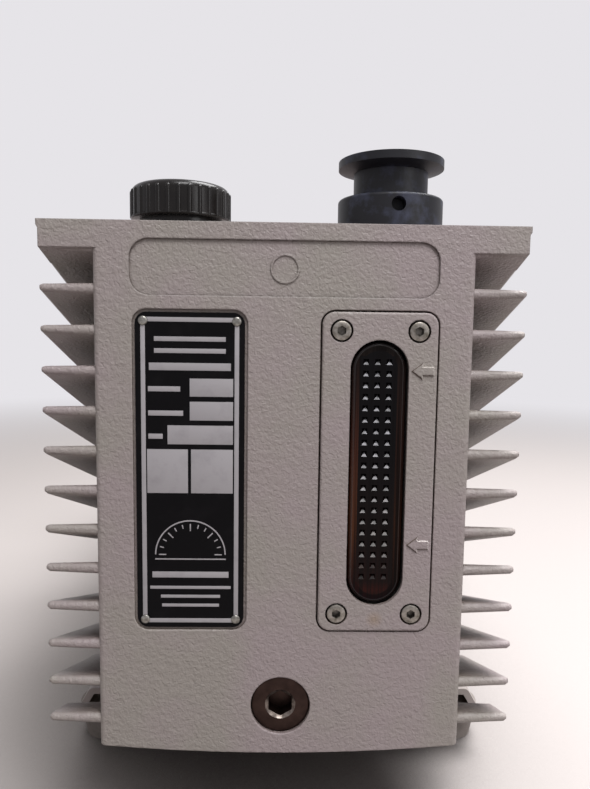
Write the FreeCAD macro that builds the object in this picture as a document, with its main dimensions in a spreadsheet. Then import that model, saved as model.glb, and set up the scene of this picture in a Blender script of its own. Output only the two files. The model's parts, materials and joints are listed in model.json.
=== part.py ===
"""Rotary vane vacuum pump with a finned oil casing, a stand, a coupling lantern and a flanged motor.

X runs across the pump, Y from the oil casing's front face back to the motor, Z up from the floor.
Every piece is drawn with Y counted from the front face, and is then set back by half the length.
"""
import FreeCAD, Part
import math
import os
import Sketcher

# Two places nearer than this, in millimetres, count as one
NEARLY = 0.01

# Driving dimensions, in millimetres and degrees.
SIZES = {
    # Oil casing
    "casing_wide": 132.0,
    "casing_tall": 189.0,
    "casing_low": 50.0,
    "casing_deep": 128.0,
    "casing_belly": 3.0,
    "casing_wall": 5.0,
    "front_wall": 8.0,
    "face_round": 2.0,
    "lean": 20.4,
    "fin_reach": 18.5,
    "fin_pitch": 14.23,
    "fin_first": 22.55,
    "fin_root": 4.1,
    "fin_tip": 2.9,
    "fin_setback": 1.0,
    "fin_edge": 1.0,
    "fin_edge_thin": 1.2,
    "fin_tip_back": 0.5,
    "fin_edge_back": 0.9,
    "fin_bite": 1.0,
    "fin_floor": 5.5,
    "fins_below_top": 12,
    "fins_above_top": 6,
    "top_thick": 6.0,
    "top_reach": 18.1,
    "top_flare": 0.6,
    "top_flare_tall": 2.0,
    "lip_tall": 9.3,
    "lip_deep": 12.0,
    "joint_flange": 9.0,
    "joint_reach": 14.0,
    "gasket_thick": 1.0,
    "panel_wide": 106.6,
    "panel_tall": 19.0,
    "panel_drop": 6.0,
    "panel_round": 6.5,
    "panel_deep": 0.8,
    "panel_slope": 40.0,
    "recess_round": 0.4,
    "mark_radius": 4.4,
    "mark_ring": 0.7,
    # Oil window
    "window_x": 33.3,
    "window_drop": 87.3,
    "frame_wide": 40.4,
    "frame_tall": 114.8,
    "frame_round": 4.5,
    "frame_thick": 5.0,
    "frame_proud": 0.8,
    "frame_gap": 0.5,
    "slot_wide": 20.4,
    "slot_tall": 95.6,
    "glass_lip": 2.6,
    "glass_lip_thick": 2.0,
    "glass_sunk": 1.4,
    "glass_fit": 0.25,
    "prism_pitch": 4.08,
    "prism_deep": 1.9,
    "prism_columns": 3,
    "prism_rows": 20,
    "seal_thick": 1.0,
    "frame_screw_x": 13.5,
    "frame_screw_z": 50.9,
    "arrow_long": 7.2,
    "arrow_wide": 4.9,
    "arrow_high": 0.6,
    "arrow_upper": 37.2,
    "arrow_lower": 25.0,
    # Nameplate
    "plate_x": 32.7,
    "plate_wide": 38.0,
    "plate_tall": 113.0,
    "plate_round": 4.0,
    "plate_thick": 0.8,
    "plate_gap": 1.0,
    "plate_sunk": 1.0,
    "rivet_pin_radius": 1.0,
    "rivet_head_tall": 0.7,
    "rivet_x": 16.2,
    "rivet_z": 53.5,
    "rivet_radius": 1.65,
    # Ports and plugs
    "port_x": 40.2,
    "port_y": 30.0,
    "flange_radius": 20.0,
    "flange_rim": 2.9,
    "flange_slope": 1.6,
    "neck_radius": 14.1,
    "collar_radius": 20.0,
    "collar_tall": 13.4,
    "port_tall": 27.7,
    "port_bore": 12.0,
    "port_seat_radius": 13.0,
    "port_seat_deep": 3.0,
    "stub_radius": 16.0,
    "stub_long": 14.0,
    "pin_hole_radius": 2.6,
    "pin_hole_high": 9.0,
    "cap_x": 40.2,
    "cap_y": 30.0,
    "cap_radius": 18.6,
    "cap_tall": 16.9,
    "cap_dome": 2.9,
    "cap_rib_count": 30,
    "cap_rib_proud": 0.5,
    "cap_rib_radius": 0.7,
    "cap_skirt_low": 4.4,
    "cap_collar_radius": 15.5,
    "cap_stub_radius": 13.0,
    "cap_stub_long": 13.0,
    "cap_groove_radius": 11.5,
    "cap_groove_wide": 1.1,
    "cap_groove_deep": 0.6,
    "boss_wall": 3.5,
    "ring_thick": 1.5,
    "plug_high": 15.2,
    "plug_collar_radius": 10.4,
    "plug_collar_thick": 3.0,
    "plug_thread_radius": 8.2,
    "plug_long": 14.0,
    "plug_hex": 8.0,
    "plug_hex_deep": 5.0,
    "plug_hex_turn": 30.0,
    "plug_funnel_radius": 5.0,
    "plug_funnel_deep": 0.6,
    "spot_radius": 10.9,
    "spot_deep": 6.5,
    "filter_radius": 18.0,
    "filter_long": 55.0,
    "filter_groove_pitch": 7.0,
    "filter_groove_wide": 3.0,
    "filter_groove_deep": 1.2,
    "filter_grooves": 6,
    # Stand
    "shaft_high": 127.0,
    "stand_back": 274.0,
    "stand_wall": 12.0,
    "stand_side": 7.0,
    "stand_wide": 116.0,
    "stand_rise": 7.0,
    "plate_half_wide": 84.0,
    "foot_plate_low": 31.0,
    "foot_plate_thick": 16.0,
    "foot_plate_front": 130.0,
    "stand_corner": 10.0,
    "inlet_y": 238.0,
    "duct_half": 19.0,
    "duct_low": 181.0,
    "duct_bore": 8.0,
    "valve_bore": 15.0,
    "valve_tall": 8.0,
    "valve_travel": 6.0,
    "valve_stem_radius": 4.0,
    "valve_stem_tall": 8.0,
    "valve_bevel": 3.0,
    "strainer_deep": 22.0,
    "strainer_wall": 0.8,
    "strainer_hole": 1.7,
    "strainer_row_step": 6.0,
    "strainer_rows": 3,
    "strainer_holes": 10,
    "stand_rib_first": 200.0,
    "stand_rib_step": 32.0,
    "stand_rib_thick": 6.0,
    "stand_rib_top": 150.0,
    "ballast_y": 236.0,
    "ballast_high": 200.0,
    "ballast_radius": 8.0,
    "ballast_bore": 4.0,
    "ballast_hex": 24.0,
    "ballast_hex_thick": 4.0,
    "knob_radius": 13.0,
    "knob_thick": 12.0,
    "knob_grip_wide": 5.0,
    "knob_grip_tall": 4.0,
    "knob_flutes": 9,
    "knob_flute_radius": 3.4,
    "knob_flute_out": 14.5,
    # Pump module
    "module_radius": 50.0,
    "module_flat": 4.0,
    "end_plate": 12.0,
    "hv_long": 60.0,
    "middle_plate": 14.0,
    "fv_long": 30.0,
    "rotor_radius": 29.95,
    "bore_radius": 35.0,
    "eccentricity": 5.0,
    "vane_thick": 4.0,
    "vane_tip_radius": 29.8,
    "shaft_radius": 10.0,
    "running_gap": 0.04,
    "bush_radius": 13.0,
    "seal_radius": 17.5,
    "leaf_long": 24.0,
    "leaf_wide": 14.0,
    "leaf_thick": 0.8,
    # Lantern and coupling
    "lantern_plate": 22.0,
    "lantern_end": 334.0,
    "lantern_radius": 65.0,
    "lantern_bore": 52.0,
    "lantern_rim": 10.0,
    "lantern_web": 8.0,
    "rim_radius": 79.0,
    "hub_radius": 28.0,
    "hub_long": 20.0,
    "jaw_long": 12.0,
    "hub_back": 6.0,
    "hub_gap": 2.0,
    "jaw_count": 3,
    "jaw_half_angle": 21.0,
    "spider_half_angle": 7.5,
    # Motor
    "shield_thick": 16.0,
    "shield_radius": 80.0,
    "frame_end": 462.0,
    "tube_radius": 70.0,
    "tube_bore": 64.0,
    "rib_radius": 86.5,
    "rib_thick": 2.6,
    "rib_count": 32,
    "bearing_radius": 23.5,
    "bearing_wide": 14.0,
    "rear_shield_thick": 16.0,
    "rear_plate_thick": 7.0,
    "rear_boss_radius": 32.0,
    "shaft_step": 2.0,
    "core_bore": 40.0,
    "air_gap": 0.4,
    "core_start": 372.0,
    "core_long": 72.0,
    "winding_long": 13.0,
    "fan_radius": 74.0,
    "fan_start": 486.0,
    "fan_long": 24.0,
    "fan_hub_radius": 15.0,
    "fan_disc_thick": 2.5,
    "blade_thick": 2.6,
    "blade_count": 8,
    "cover_radius": 86.5,
    "cover_wall": 1.5,
    "cover_start": 463.0,
    "cover_shoulder": 512.0,
    "cover_end": 545.0,
    "cover_end_radius": 64.0,
    "slot_first_radius": 22.0,
    "slot_ring_step": 10.0,
    "slot_rings": 4,
    "slots_per_ring": 8,
    "slot_high": 5.2,
    "slot_bridge": 4.6,
    "box_y": 388.0,
    "box_long": 84.0,
    "box_wide": 100.0,
    "box_low": 217.0,
    "box_tall": 22.0,
    "box_wall": 3.0,
    "lid_tall": 9.0,
    "box_corner": 8.0,
    "box_screw_inset": 7.0,
    "box_boss_radius": 5.0,
    "wire_hole_radius": 10.0,
    "board_half_wide": 22.0,
    "board_long": 18.0,
    "board_thick": 5.0,
    "stud_radius": 2.0,
    "stud_tall": 7.0,
    "stud_pitch": 14.0,
    "stud_row_step": 10.0,
    "gland_radius": 12.0,
    "gland_long": 24.0,
    "gland_hex_thick": 8.0,
    "gland_thread_radius": 8.0,
    "cable_hole_radius": 5.0,
    # Base
    "rail_front": 70.0,
    "rail_back": 365.0,
    "rail_inner_x": 56.0,
    "rail_top_x": 90.7,
    "rail_low_x": 99.4,
    "rail_lip_x": 80.0,
    "rail_thick": 3.0,
    "foot_radius": 10.0,
    "foot_taper": 10.0,
    "foot_tall": 16.0,
    "foot_x": 87.5,
    "foot_inset": 18.0,
    # Screws and fits
    "bolt_radius": 4.0,
    "bolt_head_radius": 6.5,
    "bolt_head_tall": 8.0,
    "small_screw_radius": 2.0,
    "small_head_radius": 3.5,
    "small_head_tall": 3.8,
    "small_screw_long": 4.0,
    "small_hex": 3.0,
    "bolt_hex": 6.0,
    "bolt_inset": 14.0,
    "fit_gap": 0.02,
    "hole_gap": 0.1,
    "thread_gap": 0.3,
    "seat_gap": 0.3,
}

doc = FreeCAD.newDocument("vacuum_pump")
sheet = doc.addObject("Spreadsheet::Sheet", "sizes")
for row, (alias, number) in enumerate(SIZES.items(), start=1):
    sheet.set(f"A{row}", alias)
    sheet.set(f"B{row}", str(number))
    sheet.setAlias(f"B{row}", alias)
doc.recompute()


class Size:
    """A length that keeps both its number and the formula that ties it to the sheet."""

    def __init__(self, number, formula=None):
        self.number = float(number)
        self.formula = formula or repr(self.number)

    @staticmethod
    def of(value):
        return value if isinstance(value, Size) else Size(value)

    def __float__(self):
        return self.number

    def __add__(self, other):
        other = Size.of(other)
        return Size(self.number + other.number, f"({self.formula} + {other.formula})")

    def __radd__(self, other):
        return Size.of(other) + self

    def __sub__(self, other):
        other = Size.of(other)
        return Size(self.number - other.number, f"({self.formula} - {other.formula})")

    def __rsub__(self, other):
        return Size.of(other) - self

    def __mul__(self, other):
        other = Size.of(other)
        return Size(self.number * other.number, f"({self.formula} * {other.formula})")

    def __rmul__(self, other):
        return Size.of(other) * self

    def __truediv__(self, other):
        other = Size.of(other)
        return Size(self.number / other.number, f"({self.formula} / {other.formula})")

    def __neg__(self):
        return Size(-self.number, f"(0 - {self.formula})")


class Sheet:
    """Reads a driving dimension by its alias."""

    def __getattr__(self, alias):
        return Size(SIZES[alias], f"sizes.{alias}")


s = Sheet()


def sin(angle):
    return Size(math.sin(math.radians(float(angle))), f"sin({Size.of(angle).formula})")


def cos(angle):
    return Size(math.cos(math.radians(float(angle))), f"cos({Size.of(angle).formula})")


def tan(angle):
    return Size(math.tan(math.radians(float(angle))), f"tan({Size.of(angle).formula})")


def hypotenuse(a, b):
    a, b = Size.of(a), Size.of(b)
    return Size(math.hypot(float(a), float(b)), f"sqrt(({a.formula})^2 + ({b.formula})^2)")


def bind(thing, path, value):
    """Ties one property to the sheet, or sets it where the value is a plain number."""
    thing.setExpression(path, Size.of(value).formula)


# Places that many pieces share.
casing_top = s.casing_low + s.casing_tall
stand_top = casing_top + s.stand_rise
stand_inside = s.stand_back - s.stand_wall
foot_plate_top = s.foot_plate_low + s.foot_plate_thick
half_casing = s.casing_wide / 2
window_high = casing_top - s.window_drop
plug_high = s.casing_low + s.plug_high
lantern_start = s.stand_back
stub_end = stand_top - s.stub_long
valve_rest = stub_end - s.seat_gap - s.valve_travel - s.valve_tall
lantern_face = lantern_start + s.lantern_plate
front_proud = s.frame_proud + s.arrow_high
middle = (s.cover_end - front_proud) / 2


def joint_y(height):
    """The joint between casing and stand leans back as it rises."""
    return s.casing_deep + (height - s.casing_low) * tan(s.lean)


# Bodies, sketches and features
def new_body(label, x=0, y=0, z=0, leaning=False):
    body = doc.addObject("PartDesign::Body", label)
    body.Label = label
    if leaning:
        turn = FreeCAD.Rotation(FreeCAD.Vector(-1, 0, 0), float(s.lean))
        body.Placement = FreeCAD.Placement(FreeCAD.Vector(), turn)
        bind(body, "Placement.Rotation.Angle", s.lean)
    bind(body, "Placement.Base.x", x)
    bind(body, "Placement.Base.y", Size.of(y) - middle)
    bind(body, "Placement.Base.z", z)
    return body


def origin(body, role):
    return next(item for item in body.Origin.OriginFeatures if item.Role == role)


def sketch_on(body, plane, at):
    """A sketch on one of the body's own planes, moved along the plane's axis to a coordinate.

    The plane called joint is the slanted joint between casing and stand, with its own coordinates:
    X across, the sketch's Y up along the slant, and the coordinate counted back from the joint.
    """
    sketch = body.newObject("Sketcher::SketchObject", "sketch")
    at = Size.of(at)
    support = "XZ" if plane == "joint" else plane
    sketch.AttachmentSupport = (origin(body, support + "_Plane"), [""])
    sketch.MapMode = "FlatFace"
    if plane == "joint":
        turn = FreeCAD.Rotation(FreeCAD.Vector(-1, 0, 0), float(s.lean))
        sketch.AttachmentOffset = FreeCAD.Placement(FreeCAD.Vector(), turn)
        bind(sketch, "AttachmentOffset.Rotation.Angle", s.lean)
        bind(sketch, "AttachmentOffset.Base.y", s.casing_low - at * sin(s.lean))
        bind(sketch, "AttachmentOffset.Base.z", -(s.casing_deep + at * cos(s.lean)))
    else:
        bind(sketch, "AttachmentOffset.Base.z", -at if plane == "XZ" else at)
    return sketch


def hold(sketch, kind, geometry, point, value):
    """Adds one driving dimension and ties it to the sheet."""
    value = Size.of(value)
    if point is None:
        index = sketch.addConstraint(Sketcher.Constraint(kind, geometry, value.number))
    else:
        index = sketch.addConstraint(Sketcher.Constraint(kind, geometry, point, value.number))
    sketch.setExpression(f"Constraints[{index}]", value.formula)


def hold_point(sketch, geometry, point, x, y):
    hold(sketch, "DistanceX", geometry, point, x)
    hold(sketch, "DistanceY", geometry, point, y)


def circle(x, y, radius):
    def draw(sketch):
        centre = FreeCAD.Vector(float(x), float(y), 0)
        edge = Part.Circle(centre, FreeCAD.Vector(0, 0, 1), float(radius))
        index = sketch.addGeometry(edge)
        hold_point(sketch, index, 3, x, y)
        hold(sketch, "Radius", index, None, radius)
    return draw


def outline(*corners):
    """A closed outline. A corner is (x, y), or (x, y, radius) where it is rounded."""
    def draw(sketch):
        count = len(corners)
        spots = [FreeCAD.Vector(float(c[0]), float(c[1]), 0) for c in corners]
        cuts = []
        for i, corner in enumerate(corners):
            here = spots[i]
            if len(corner) == 2:
                cuts.append((here, here))
                continue
            back = (spots[i - 1] - here).normalize()
            ahead = (spots[(i + 1) % count] - here).normalize()
            half = back.getAngle(ahead) / 2
            reach = float(corner[2]) / math.tan(half)
            cuts.append((here + back * reach, here + ahead * reach))
        lines = []
        for i in range(count):
            start = cuts[i][1]
            end = cuts[(i + 1) % count][0]
            lines.append(sketch.addGeometry(Part.LineSegment(start, end)))
        for i, corner in enumerate(corners):
            before = lines[i - 1]
            after = lines[i]
            if len(corner) == 2:
                sketch.addConstraint(Sketcher.Constraint("Coincident", before, 2, after, 1))
                hold_point(sketch, after, 1, corner[0], corner[1])
                continue
            here = spots[i]
            start, end = cuts[i]
            back = (spots[i - 1] - here).normalize()
            ahead = (spots[(i + 1) % count] - here).normalize()
            to_centre = (back + ahead).normalize()
            half = back.getAngle(ahead) / 2
            centre = here + to_centre * (float(corner[2]) / math.sin(half))
            nearest = centre - to_centre * float(corner[2])
            arc = sketch.addGeometry(Part.Arc(start, nearest, end))
            turns_left = back.cross(ahead).z < 0
            first, last = (1, 2) if turns_left else (2, 1)
            sketch.addConstraint(Sketcher.Constraint("Tangent", before, 2, arc, first))
            sketch.addConstraint(Sketcher.Constraint("Tangent", arc, last, after, 1))
            hold(sketch, "Radius", arc, None, corner[2])
            mark = sketch.addGeometry(Part.Point(here), True)
            sketch.addConstraint(Sketcher.Constraint("PointOnObject", mark, 1, before))
            sketch.addConstraint(Sketcher.Constraint("PointOnObject", mark, 1, after))
            hold_point(sketch, mark, 1, corner[0], corner[1])
    return draw


def box(x0, y0, x1, y1, rounding=None):
    corners = [(x0, y0), (x1, y0), (x1, y1), (x0, y1)]
    if rounding is not None:
        corners = [(x, y, rounding) for x, y in corners]
    return outline(*corners)


def upright_slot(x, low, high, radius):
    """A stadium whose straight sides stand upright."""
    def draw(sketch):
        left = Size.of(x) - radius
        right = Size.of(x) + radius
        bottom = Size.of(low) + radius
        top = Size.of(high) - radius

        def spot(a, b):
            return FreeCAD.Vector(float(a), float(b), 0)

        side_a = sketch.addGeometry(Part.LineSegment(spot(right, bottom), spot(right, top)))
        roof = sketch.addGeometry(Part.Arc(spot(right, top), spot(x, high), spot(left, top)))
        side_b = sketch.addGeometry(Part.LineSegment(spot(left, top), spot(left, bottom)))
        floor = sketch.addGeometry(Part.Arc(spot(left, bottom), spot(x, low), spot(right, bottom)))
        loop = [side_a, roof, side_b, floor]
        for i, edge in enumerate(loop):
            following = loop[(i + 1) % 4]
            sketch.addConstraint(Sketcher.Constraint("Tangent", edge, 2, following, 1))
        hold_point(sketch, roof, 3, x, top)
        hold_point(sketch, floor, 3, x, bottom)
        hold(sketch, "Radius", roof, None, radius)
    return draw


def hexagon(x, y, across_flats, turn=0):
    corner = Size.of(across_flats) / cos(30) / 2
    angles = [turn + 60 * i for i in range(6)]
    return outline(*[(x + corner * cos(angle), y + corner * sin(angle)) for angle in angles])


def extrude(body, kind, plane, start, end, drawings, taper=0):
    """Adds or removes what lies between two coordinates along the plane's axis."""
    start = Size.of(start)
    end = Size.of(end)
    sketch = sketch_on(body, plane, start)
    for draw in drawings:
        draw(sketch)
    feature = body.newObject("PartDesign::" + kind, kind.lower())
    feature.Profile = (sketch, [""])
    forward = end.number > start.number
    along_normal = forward != (plane in ("XZ", "joint"))
    feature.Reversed = along_normal if kind == "Pocket" else not along_normal
    bind(feature, "Length", end - start if forward else start - end)
    if taper:
        bind(feature, "TaperAngle", taper)
    sketch.Visibility = False
    return feature


def pad(body, plane, start, end, *drawings):
    return extrude(body, "Pad", plane, start, end, drawings)


def pocket(body, plane, start, end, *drawings, taper=0):
    return extrude(body, "Pocket", plane, start, end, drawings, taper)


def turned(body, kind, axis, drawing):
    """Turns a profile about the body's own Y or Z axis. The profile is (along, out) for Y."""
    sketch = sketch_on(body, "YZ" if axis == "Y" else "XZ", 0)
    drawing(sketch)
    feature = body.newObject("PartDesign::" + kind, kind.lower())
    feature.Profile = (sketch, [""])
    feature.ReferenceAxis = (origin(body, axis + "_Axis"), [""])
    feature.Angle = 360
    sketch.Visibility = False
    return feature


def repeat_line(body, feature, axis, spacing, count):
    pattern = body.newObject("PartDesign::LinearPattern", "row")
    pattern.Originals = [feature]
    pattern.Direction = (origin(body, axis + "_Axis"), [""])
    bind(pattern, "Length", Size.of(spacing) * (Size.of(count) - 1))
    bind(pattern, "Occurrences", count)
    body.Tip = pattern
    return pattern


def repeat_round(body, feature, axis, count):
    pattern = body.newObject("PartDesign::PolarPattern", "ring")
    pattern.Originals = [feature]
    pattern.Axis = (origin(body, axis + "_Axis"), [""])
    pattern.Angle = 360
    bind(pattern, "Occurrences", count)
    body.Tip = pattern
    return pattern


def round_edges(body, radius, wanted):
    """Rounds the edges of the body's last shape whose end points satisfy a test."""
    doc.recompute()
    base = body.Tip
    names = []
    for number, edge in enumerate(base.Shape.Edges, start=1):
        points = [vertex.Point for vertex in edge.Vertexes]
        if points and wanted(points):
            names.append(f"Edge{number}")
    fillet = body.newObject("PartDesign::Fillet", "fillet")
    fillet.Base = (base, names)
    bind(fillet, "Radius", radius)
    return fillet


def near(value, target):
    return abs(value - float(target)) < NEARLY


pieces = []


def keep(body):
    pieces.append(body)
    return body


def screws(label, plane, head_face, toward, spots, radius, head_radius, head_tall, length, hex_size,
           **place):
    """Socket head screws in one group, lying along the plane's axis.

    head_face is where the head's underside seats, and toward is +1 or -1, the way the shank points.
    """
    body = new_body(label, **place)
    head_face = Size.of(head_face)
    head_end = head_face - head_tall * toward
    shank_end = head_face + length * toward
    socket_end = head_end + head_tall * 0.55 * toward
    pad(body, plane, head_face, head_end, *[circle(x, y, head_radius) for x, y in spots])
    pad(body, plane, head_face, shank_end, *[circle(x, y, radius) for x, y in spots])
    pocket(body, plane, head_end, socket_end, *[hexagon(x, y, hex_size) for x, y in spots])
    return keep(body)


def corners_of(half_x, half_y, centre_x=0, centre_y=0):
    centre_x = Size.of(centre_x)
    centre_y = Size.of(centre_y)
    return [(centre_x + half_x * i, centre_y + half_y * j) for i in (-1, 1) for j in (-1, 1)]


# The bolts' places, each written once and used by the holes and by the bolts.
joint_long = s.casing_tall / cos(s.lean)
joint_bolt_x = half_casing + s.joint_reach / 2
joint_bolts = [(side * joint_bolt_x, joint_long * share) for side in (-1, 1)
               for share in (0.1, 0.5, 0.9)]
joint_bolt_holes = [circle(x, z, s.bolt_radius + s.hole_gap) for x, z in joint_bolts]
frame_screw_spots = corners_of(s.frame_screw_x, s.frame_screw_z, s.window_x, window_high)
plate_bolt_x = s.plate_half_wide - s.bolt_inset + 2
plate_bolts = [(side * plate_bolt_x, height) for side in (-1, 1)
               for height in (foot_plate_top + 6, s.shaft_high + 10, stand_top - s.bolt_inset)]
module_bolt_reach = (s.module_radius - 7) * cos(45)
module_bolts = corners_of(module_bolt_reach, module_bolt_reach, 0, s.shaft_high)
rim_bolt_reach = (s.lantern_radius + s.rim_radius) / 2 * cos(45)
rim_bolts = corners_of(rim_bolt_reach, rim_bolt_reach, 0, s.shaft_high)
rail_bolt_x = (s.rail_inner_x + s.rail_top_x) / 2
rail_bolts = [(side * rail_bolt_x, y) for side in (-1, 1)
              for y in (s.foot_plate_front + s.bolt_inset, stand_inside - s.bolt_inset)]


# Oil casing: a cast box with a slanted open back, a top plate and rows of slanting cooling fins
def belly_outline(sketch):
    """The front outline, with straight sides and a shallow curve along the bottom."""
    low = s.casing_low
    sag_radius = (half_casing * half_casing + s.casing_belly * s.casing_belly) / 2 / s.casing_belly
    left, right = float(-half_casing), float(half_casing)
    top, bottom = float(casing_top), float(low)
    spot = FreeCAD.Vector
    side_r = sketch.addGeometry(Part.LineSegment(spot(right, bottom, 0), spot(right, top, 0)))
    roof = sketch.addGeometry(Part.LineSegment(spot(right, top, 0), spot(left, top, 0)))
    side_l = sketch.addGeometry(Part.LineSegment(spot(left, top, 0), spot(left, bottom, 0)))
    lowest = spot(0, bottom - float(s.casing_belly), 0)
    belly = sketch.addGeometry(Part.Arc(spot(left, bottom, 0), lowest, spot(right, bottom, 0)))
    loop = [side_r, roof, side_l, belly]
    for i, edge in enumerate(loop):
        sketch.addConstraint(Sketcher.Constraint("Coincident", edge, 2, loop[(i + 1) % 4], 1))
    hold_point(sketch, side_r, 1, half_casing, low)
    hold_point(sketch, roof, 1, half_casing, casing_top)
    hold_point(sketch, side_l, 1, -half_casing, casing_top)
    hold_point(sketch, side_l, 2, -half_casing, low)
    hold(sketch, "Radius", belly, None, sag_radius)


def upright_front_edge(ends):
    return len(ends) == 2 and all(near(p.y, 0) for p in ends) and near(ends[0].x, ends[1].x)


def recess_edge(ends):
    """True for the front edges of the nameplate's, the window's and the drain plug's recess."""
    if not all(near(p.y, 0) for p in ends):
        return False
    if all(near(math.hypot(p.x, p.z - float(plug_high)), s.spot_radius) for p in ends):
        return True
    for x, half_x, half_z in (
            (-s.plate_x, s.plate_wide / 2 + s.plate_gap, s.plate_tall / 2 + s.plate_gap),
            (s.window_x, s.frame_wide / 2 + s.frame_gap, s.frame_tall / 2 + s.frame_gap)):
        across = float(half_x) + NEARLY
        upright = float(half_z) + NEARLY
        if all(abs(p.x - float(x)) < across and abs(p.z - float(window_high)) < upright for p in ends):
            return True
    return False


def make_oil_casing():
    body = new_body("oil_casing")
    behind = joint_y(casing_top) + s.joint_flange * 3
    pad(body, "XZ", 0, behind, belly_outline)
    round_edges(body, s.face_round, upright_front_edge)

    # Top plate with the thick lip that shows at the front
    half_top = half_casing + s.top_reach
    plate_low = casing_top - s.top_thick
    flare_x = half_top + s.top_flare
    flare_low = casing_top - s.top_flare_tall
    flare_foot = flare_low - s.top_flare_tall / 2
    pad(body, "XZ", 0, behind,
        outline((-half_top, plate_low), (half_top, plate_low), (half_top, flare_foot),
                (flare_x, flare_low), (flare_x, casing_top), (-flare_x, casing_top),
                (-flare_x, flare_low), (-half_top, flare_foot)))
    lip_low = casing_top - s.lip_tall
    lip_back_low = lip_low - s.lip_deep * tan(s.lean)
    pad(body, "YZ", -half_top, half_top,
        outline((0, casing_top), (0, lip_low), (s.lip_deep, lip_back_low), (s.lip_deep, casing_top)))

    # Flange along the slanted joint
    half_flange = half_casing + s.joint_reach
    flange_step = s.joint_flange / cos(s.lean)
    low_y = joint_y(s.casing_low)
    high_y = joint_y(casing_top)
    pad(body, "YZ", -half_flange, half_flange,
        outline((low_y - flange_step, s.casing_low), (low_y + 1, s.casing_low),
                (high_y + 1, casing_top), (high_y - flange_step, casing_top)))

    # Hollow inside, open at the slanted joint, with bosses for the two ports and the plug
    boss_low = casing_top - s.stub_long - 2
    inner = half_casing - s.casing_wall
    pocket(body, "XZ", behind + 1, s.front_wall,
           box(-inner, s.casing_low + s.casing_wall, inner, casing_top - s.top_thick, 8))
    for x, y, radius in ((s.port_x, s.port_y, s.stub_radius), (-s.cap_x, s.cap_y, s.cap_stub_radius)):
        pad(body, "XY", boss_low, casing_top - 1, circle(x, y, radius + s.boss_wall))
    plug_boss = s.spot_deep + s.ring_thick + s.plug_long
    pad(body, "XZ", s.front_wall - 1, plug_boss, circle(0, plug_high, s.plug_thread_radius + 5))

    # Shallow panel with a round casting mark, above the nameplate and the window
    panel_top = casing_top - s.panel_drop
    panel_low = panel_top - s.panel_tall
    half_panel = s.panel_wide / 2
    mark_high = (panel_top + panel_low) / 2
    pocket(body, "XZ", 0, s.panel_deep,
           box(-half_panel, panel_low, half_panel, panel_top, s.panel_round), taper=s.panel_slope)
    pad(body, "XZ", s.panel_deep, s.panel_deep / 2,
        circle(0, mark_high, s.mark_radius + s.mark_ring), circle(0, mark_high, s.mark_radius))

    # Recess for the nameplate
    half_np = s.plate_wide / 2 + s.plate_gap
    tall_np = s.plate_tall / 2 + s.plate_gap
    pocket(body, "XZ", 0, s.plate_sunk,
           box(-s.plate_x - half_np, window_high - tall_np, -s.plate_x + half_np,
               window_high + tall_np, s.plate_round + s.plate_gap))

    # Recess and opening for the oil window
    half_fr = s.frame_wide / 2 + s.frame_gap
    tall_fr = s.frame_tall / 2 + s.frame_gap
    frame_floor = s.frame_thick - s.frame_proud
    pocket(body, "XZ", 0, frame_floor,
           box(s.window_x - half_fr, window_high - tall_fr, s.window_x + half_fr,
               window_high + tall_fr, s.frame_round + s.frame_gap))
    half_slot = s.slot_tall / 2
    opening_radius = s.slot_wide / 2 - 1
    pocket(body, "XZ", 0, s.front_wall + 5,
           upright_slot(s.window_x, window_high - half_slot + 1, window_high + half_slot - 1,
                        opening_radius))
    pocket(body, "XZ", 0, s.front_wall - 1,
           *[circle(x, z, s.small_screw_radius + s.hole_gap) for x, z in frame_screw_spots])

    # Drain, filler and exhaust holes. The front edges of every deep recess are softly rounded.
    pocket(body, "XZ", 0, s.spot_deep, circle(0, plug_high, s.spot_radius))
    round_edges(body, s.recess_round, recess_edge)
    pocket(body, "XZ", 0, plug_boss + 5, circle(0, plug_high, s.plug_thread_radius + s.thread_gap))
    pocket(body, "XY", casing_top, boss_low - 5,
           circle(-s.cap_x, s.cap_y, s.cap_stub_radius + s.thread_gap),
           circle(s.port_x, s.port_y, s.stub_radius + s.hole_gap))

    # One fin each side, repeated down the side at an even pitch
    start_high = casing_top - s.fin_first + s.fin_pitch * s.fins_above_top
    fin_long = (s.casing_deep + joint_long) * 1.05
    down = sin(s.lean)
    along = cos(s.lean)
    count = s.fins_below_top + s.fins_above_top

    def fin_profile(thick, back):
        half = thick / 2
        nose = half * 0.98
        y0 = s.fin_setback + back
        upper = (y0 + half * down, start_high + half * along)
        lower = (y0 - half * down, start_high - half * along)
        far_upper = (upper[0] + fin_long * along, upper[1] - fin_long * down)
        far_lower = (lower[0] + fin_long * along, lower[1] - fin_long * down)
        return outline((*lower, nose), far_lower, far_upper, (*upper, nose))

    tip_x = half_casing + s.fin_reach
    stations = ((half_casing - s.fin_bite, s.fin_root, 0),
                (tip_x - s.fin_edge, s.fin_tip, s.fin_tip_back),
                (tip_x, s.fin_tip - s.fin_edge_thin, s.fin_edge_back))
    for side in (-1, 1):
        sections = []
        for out, thick, back in stations:
            section = sketch_on(body, "YZ", side * out)
            fin_profile(thick, back)(section)
            sections.append(section)
        fin = body.newObject("PartDesign::AdditiveLoft", "fin")
        fin.Profile = (sections[0], [""])
        fin.Sections = [(section, [""]) for section in sections[1:]]
        fin.Ruled = True
        row = body.newObject("PartDesign::LinearPattern", "fins")
        row.Originals = [fin]
        row.Direction = (origin(body, "Z_Axis"), [""])
        row.Reversed = True
        bind(row, "Length", s.fin_pitch * (count - 1))
        bind(row, "Occurrences", count)
        body.Tip = row

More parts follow.
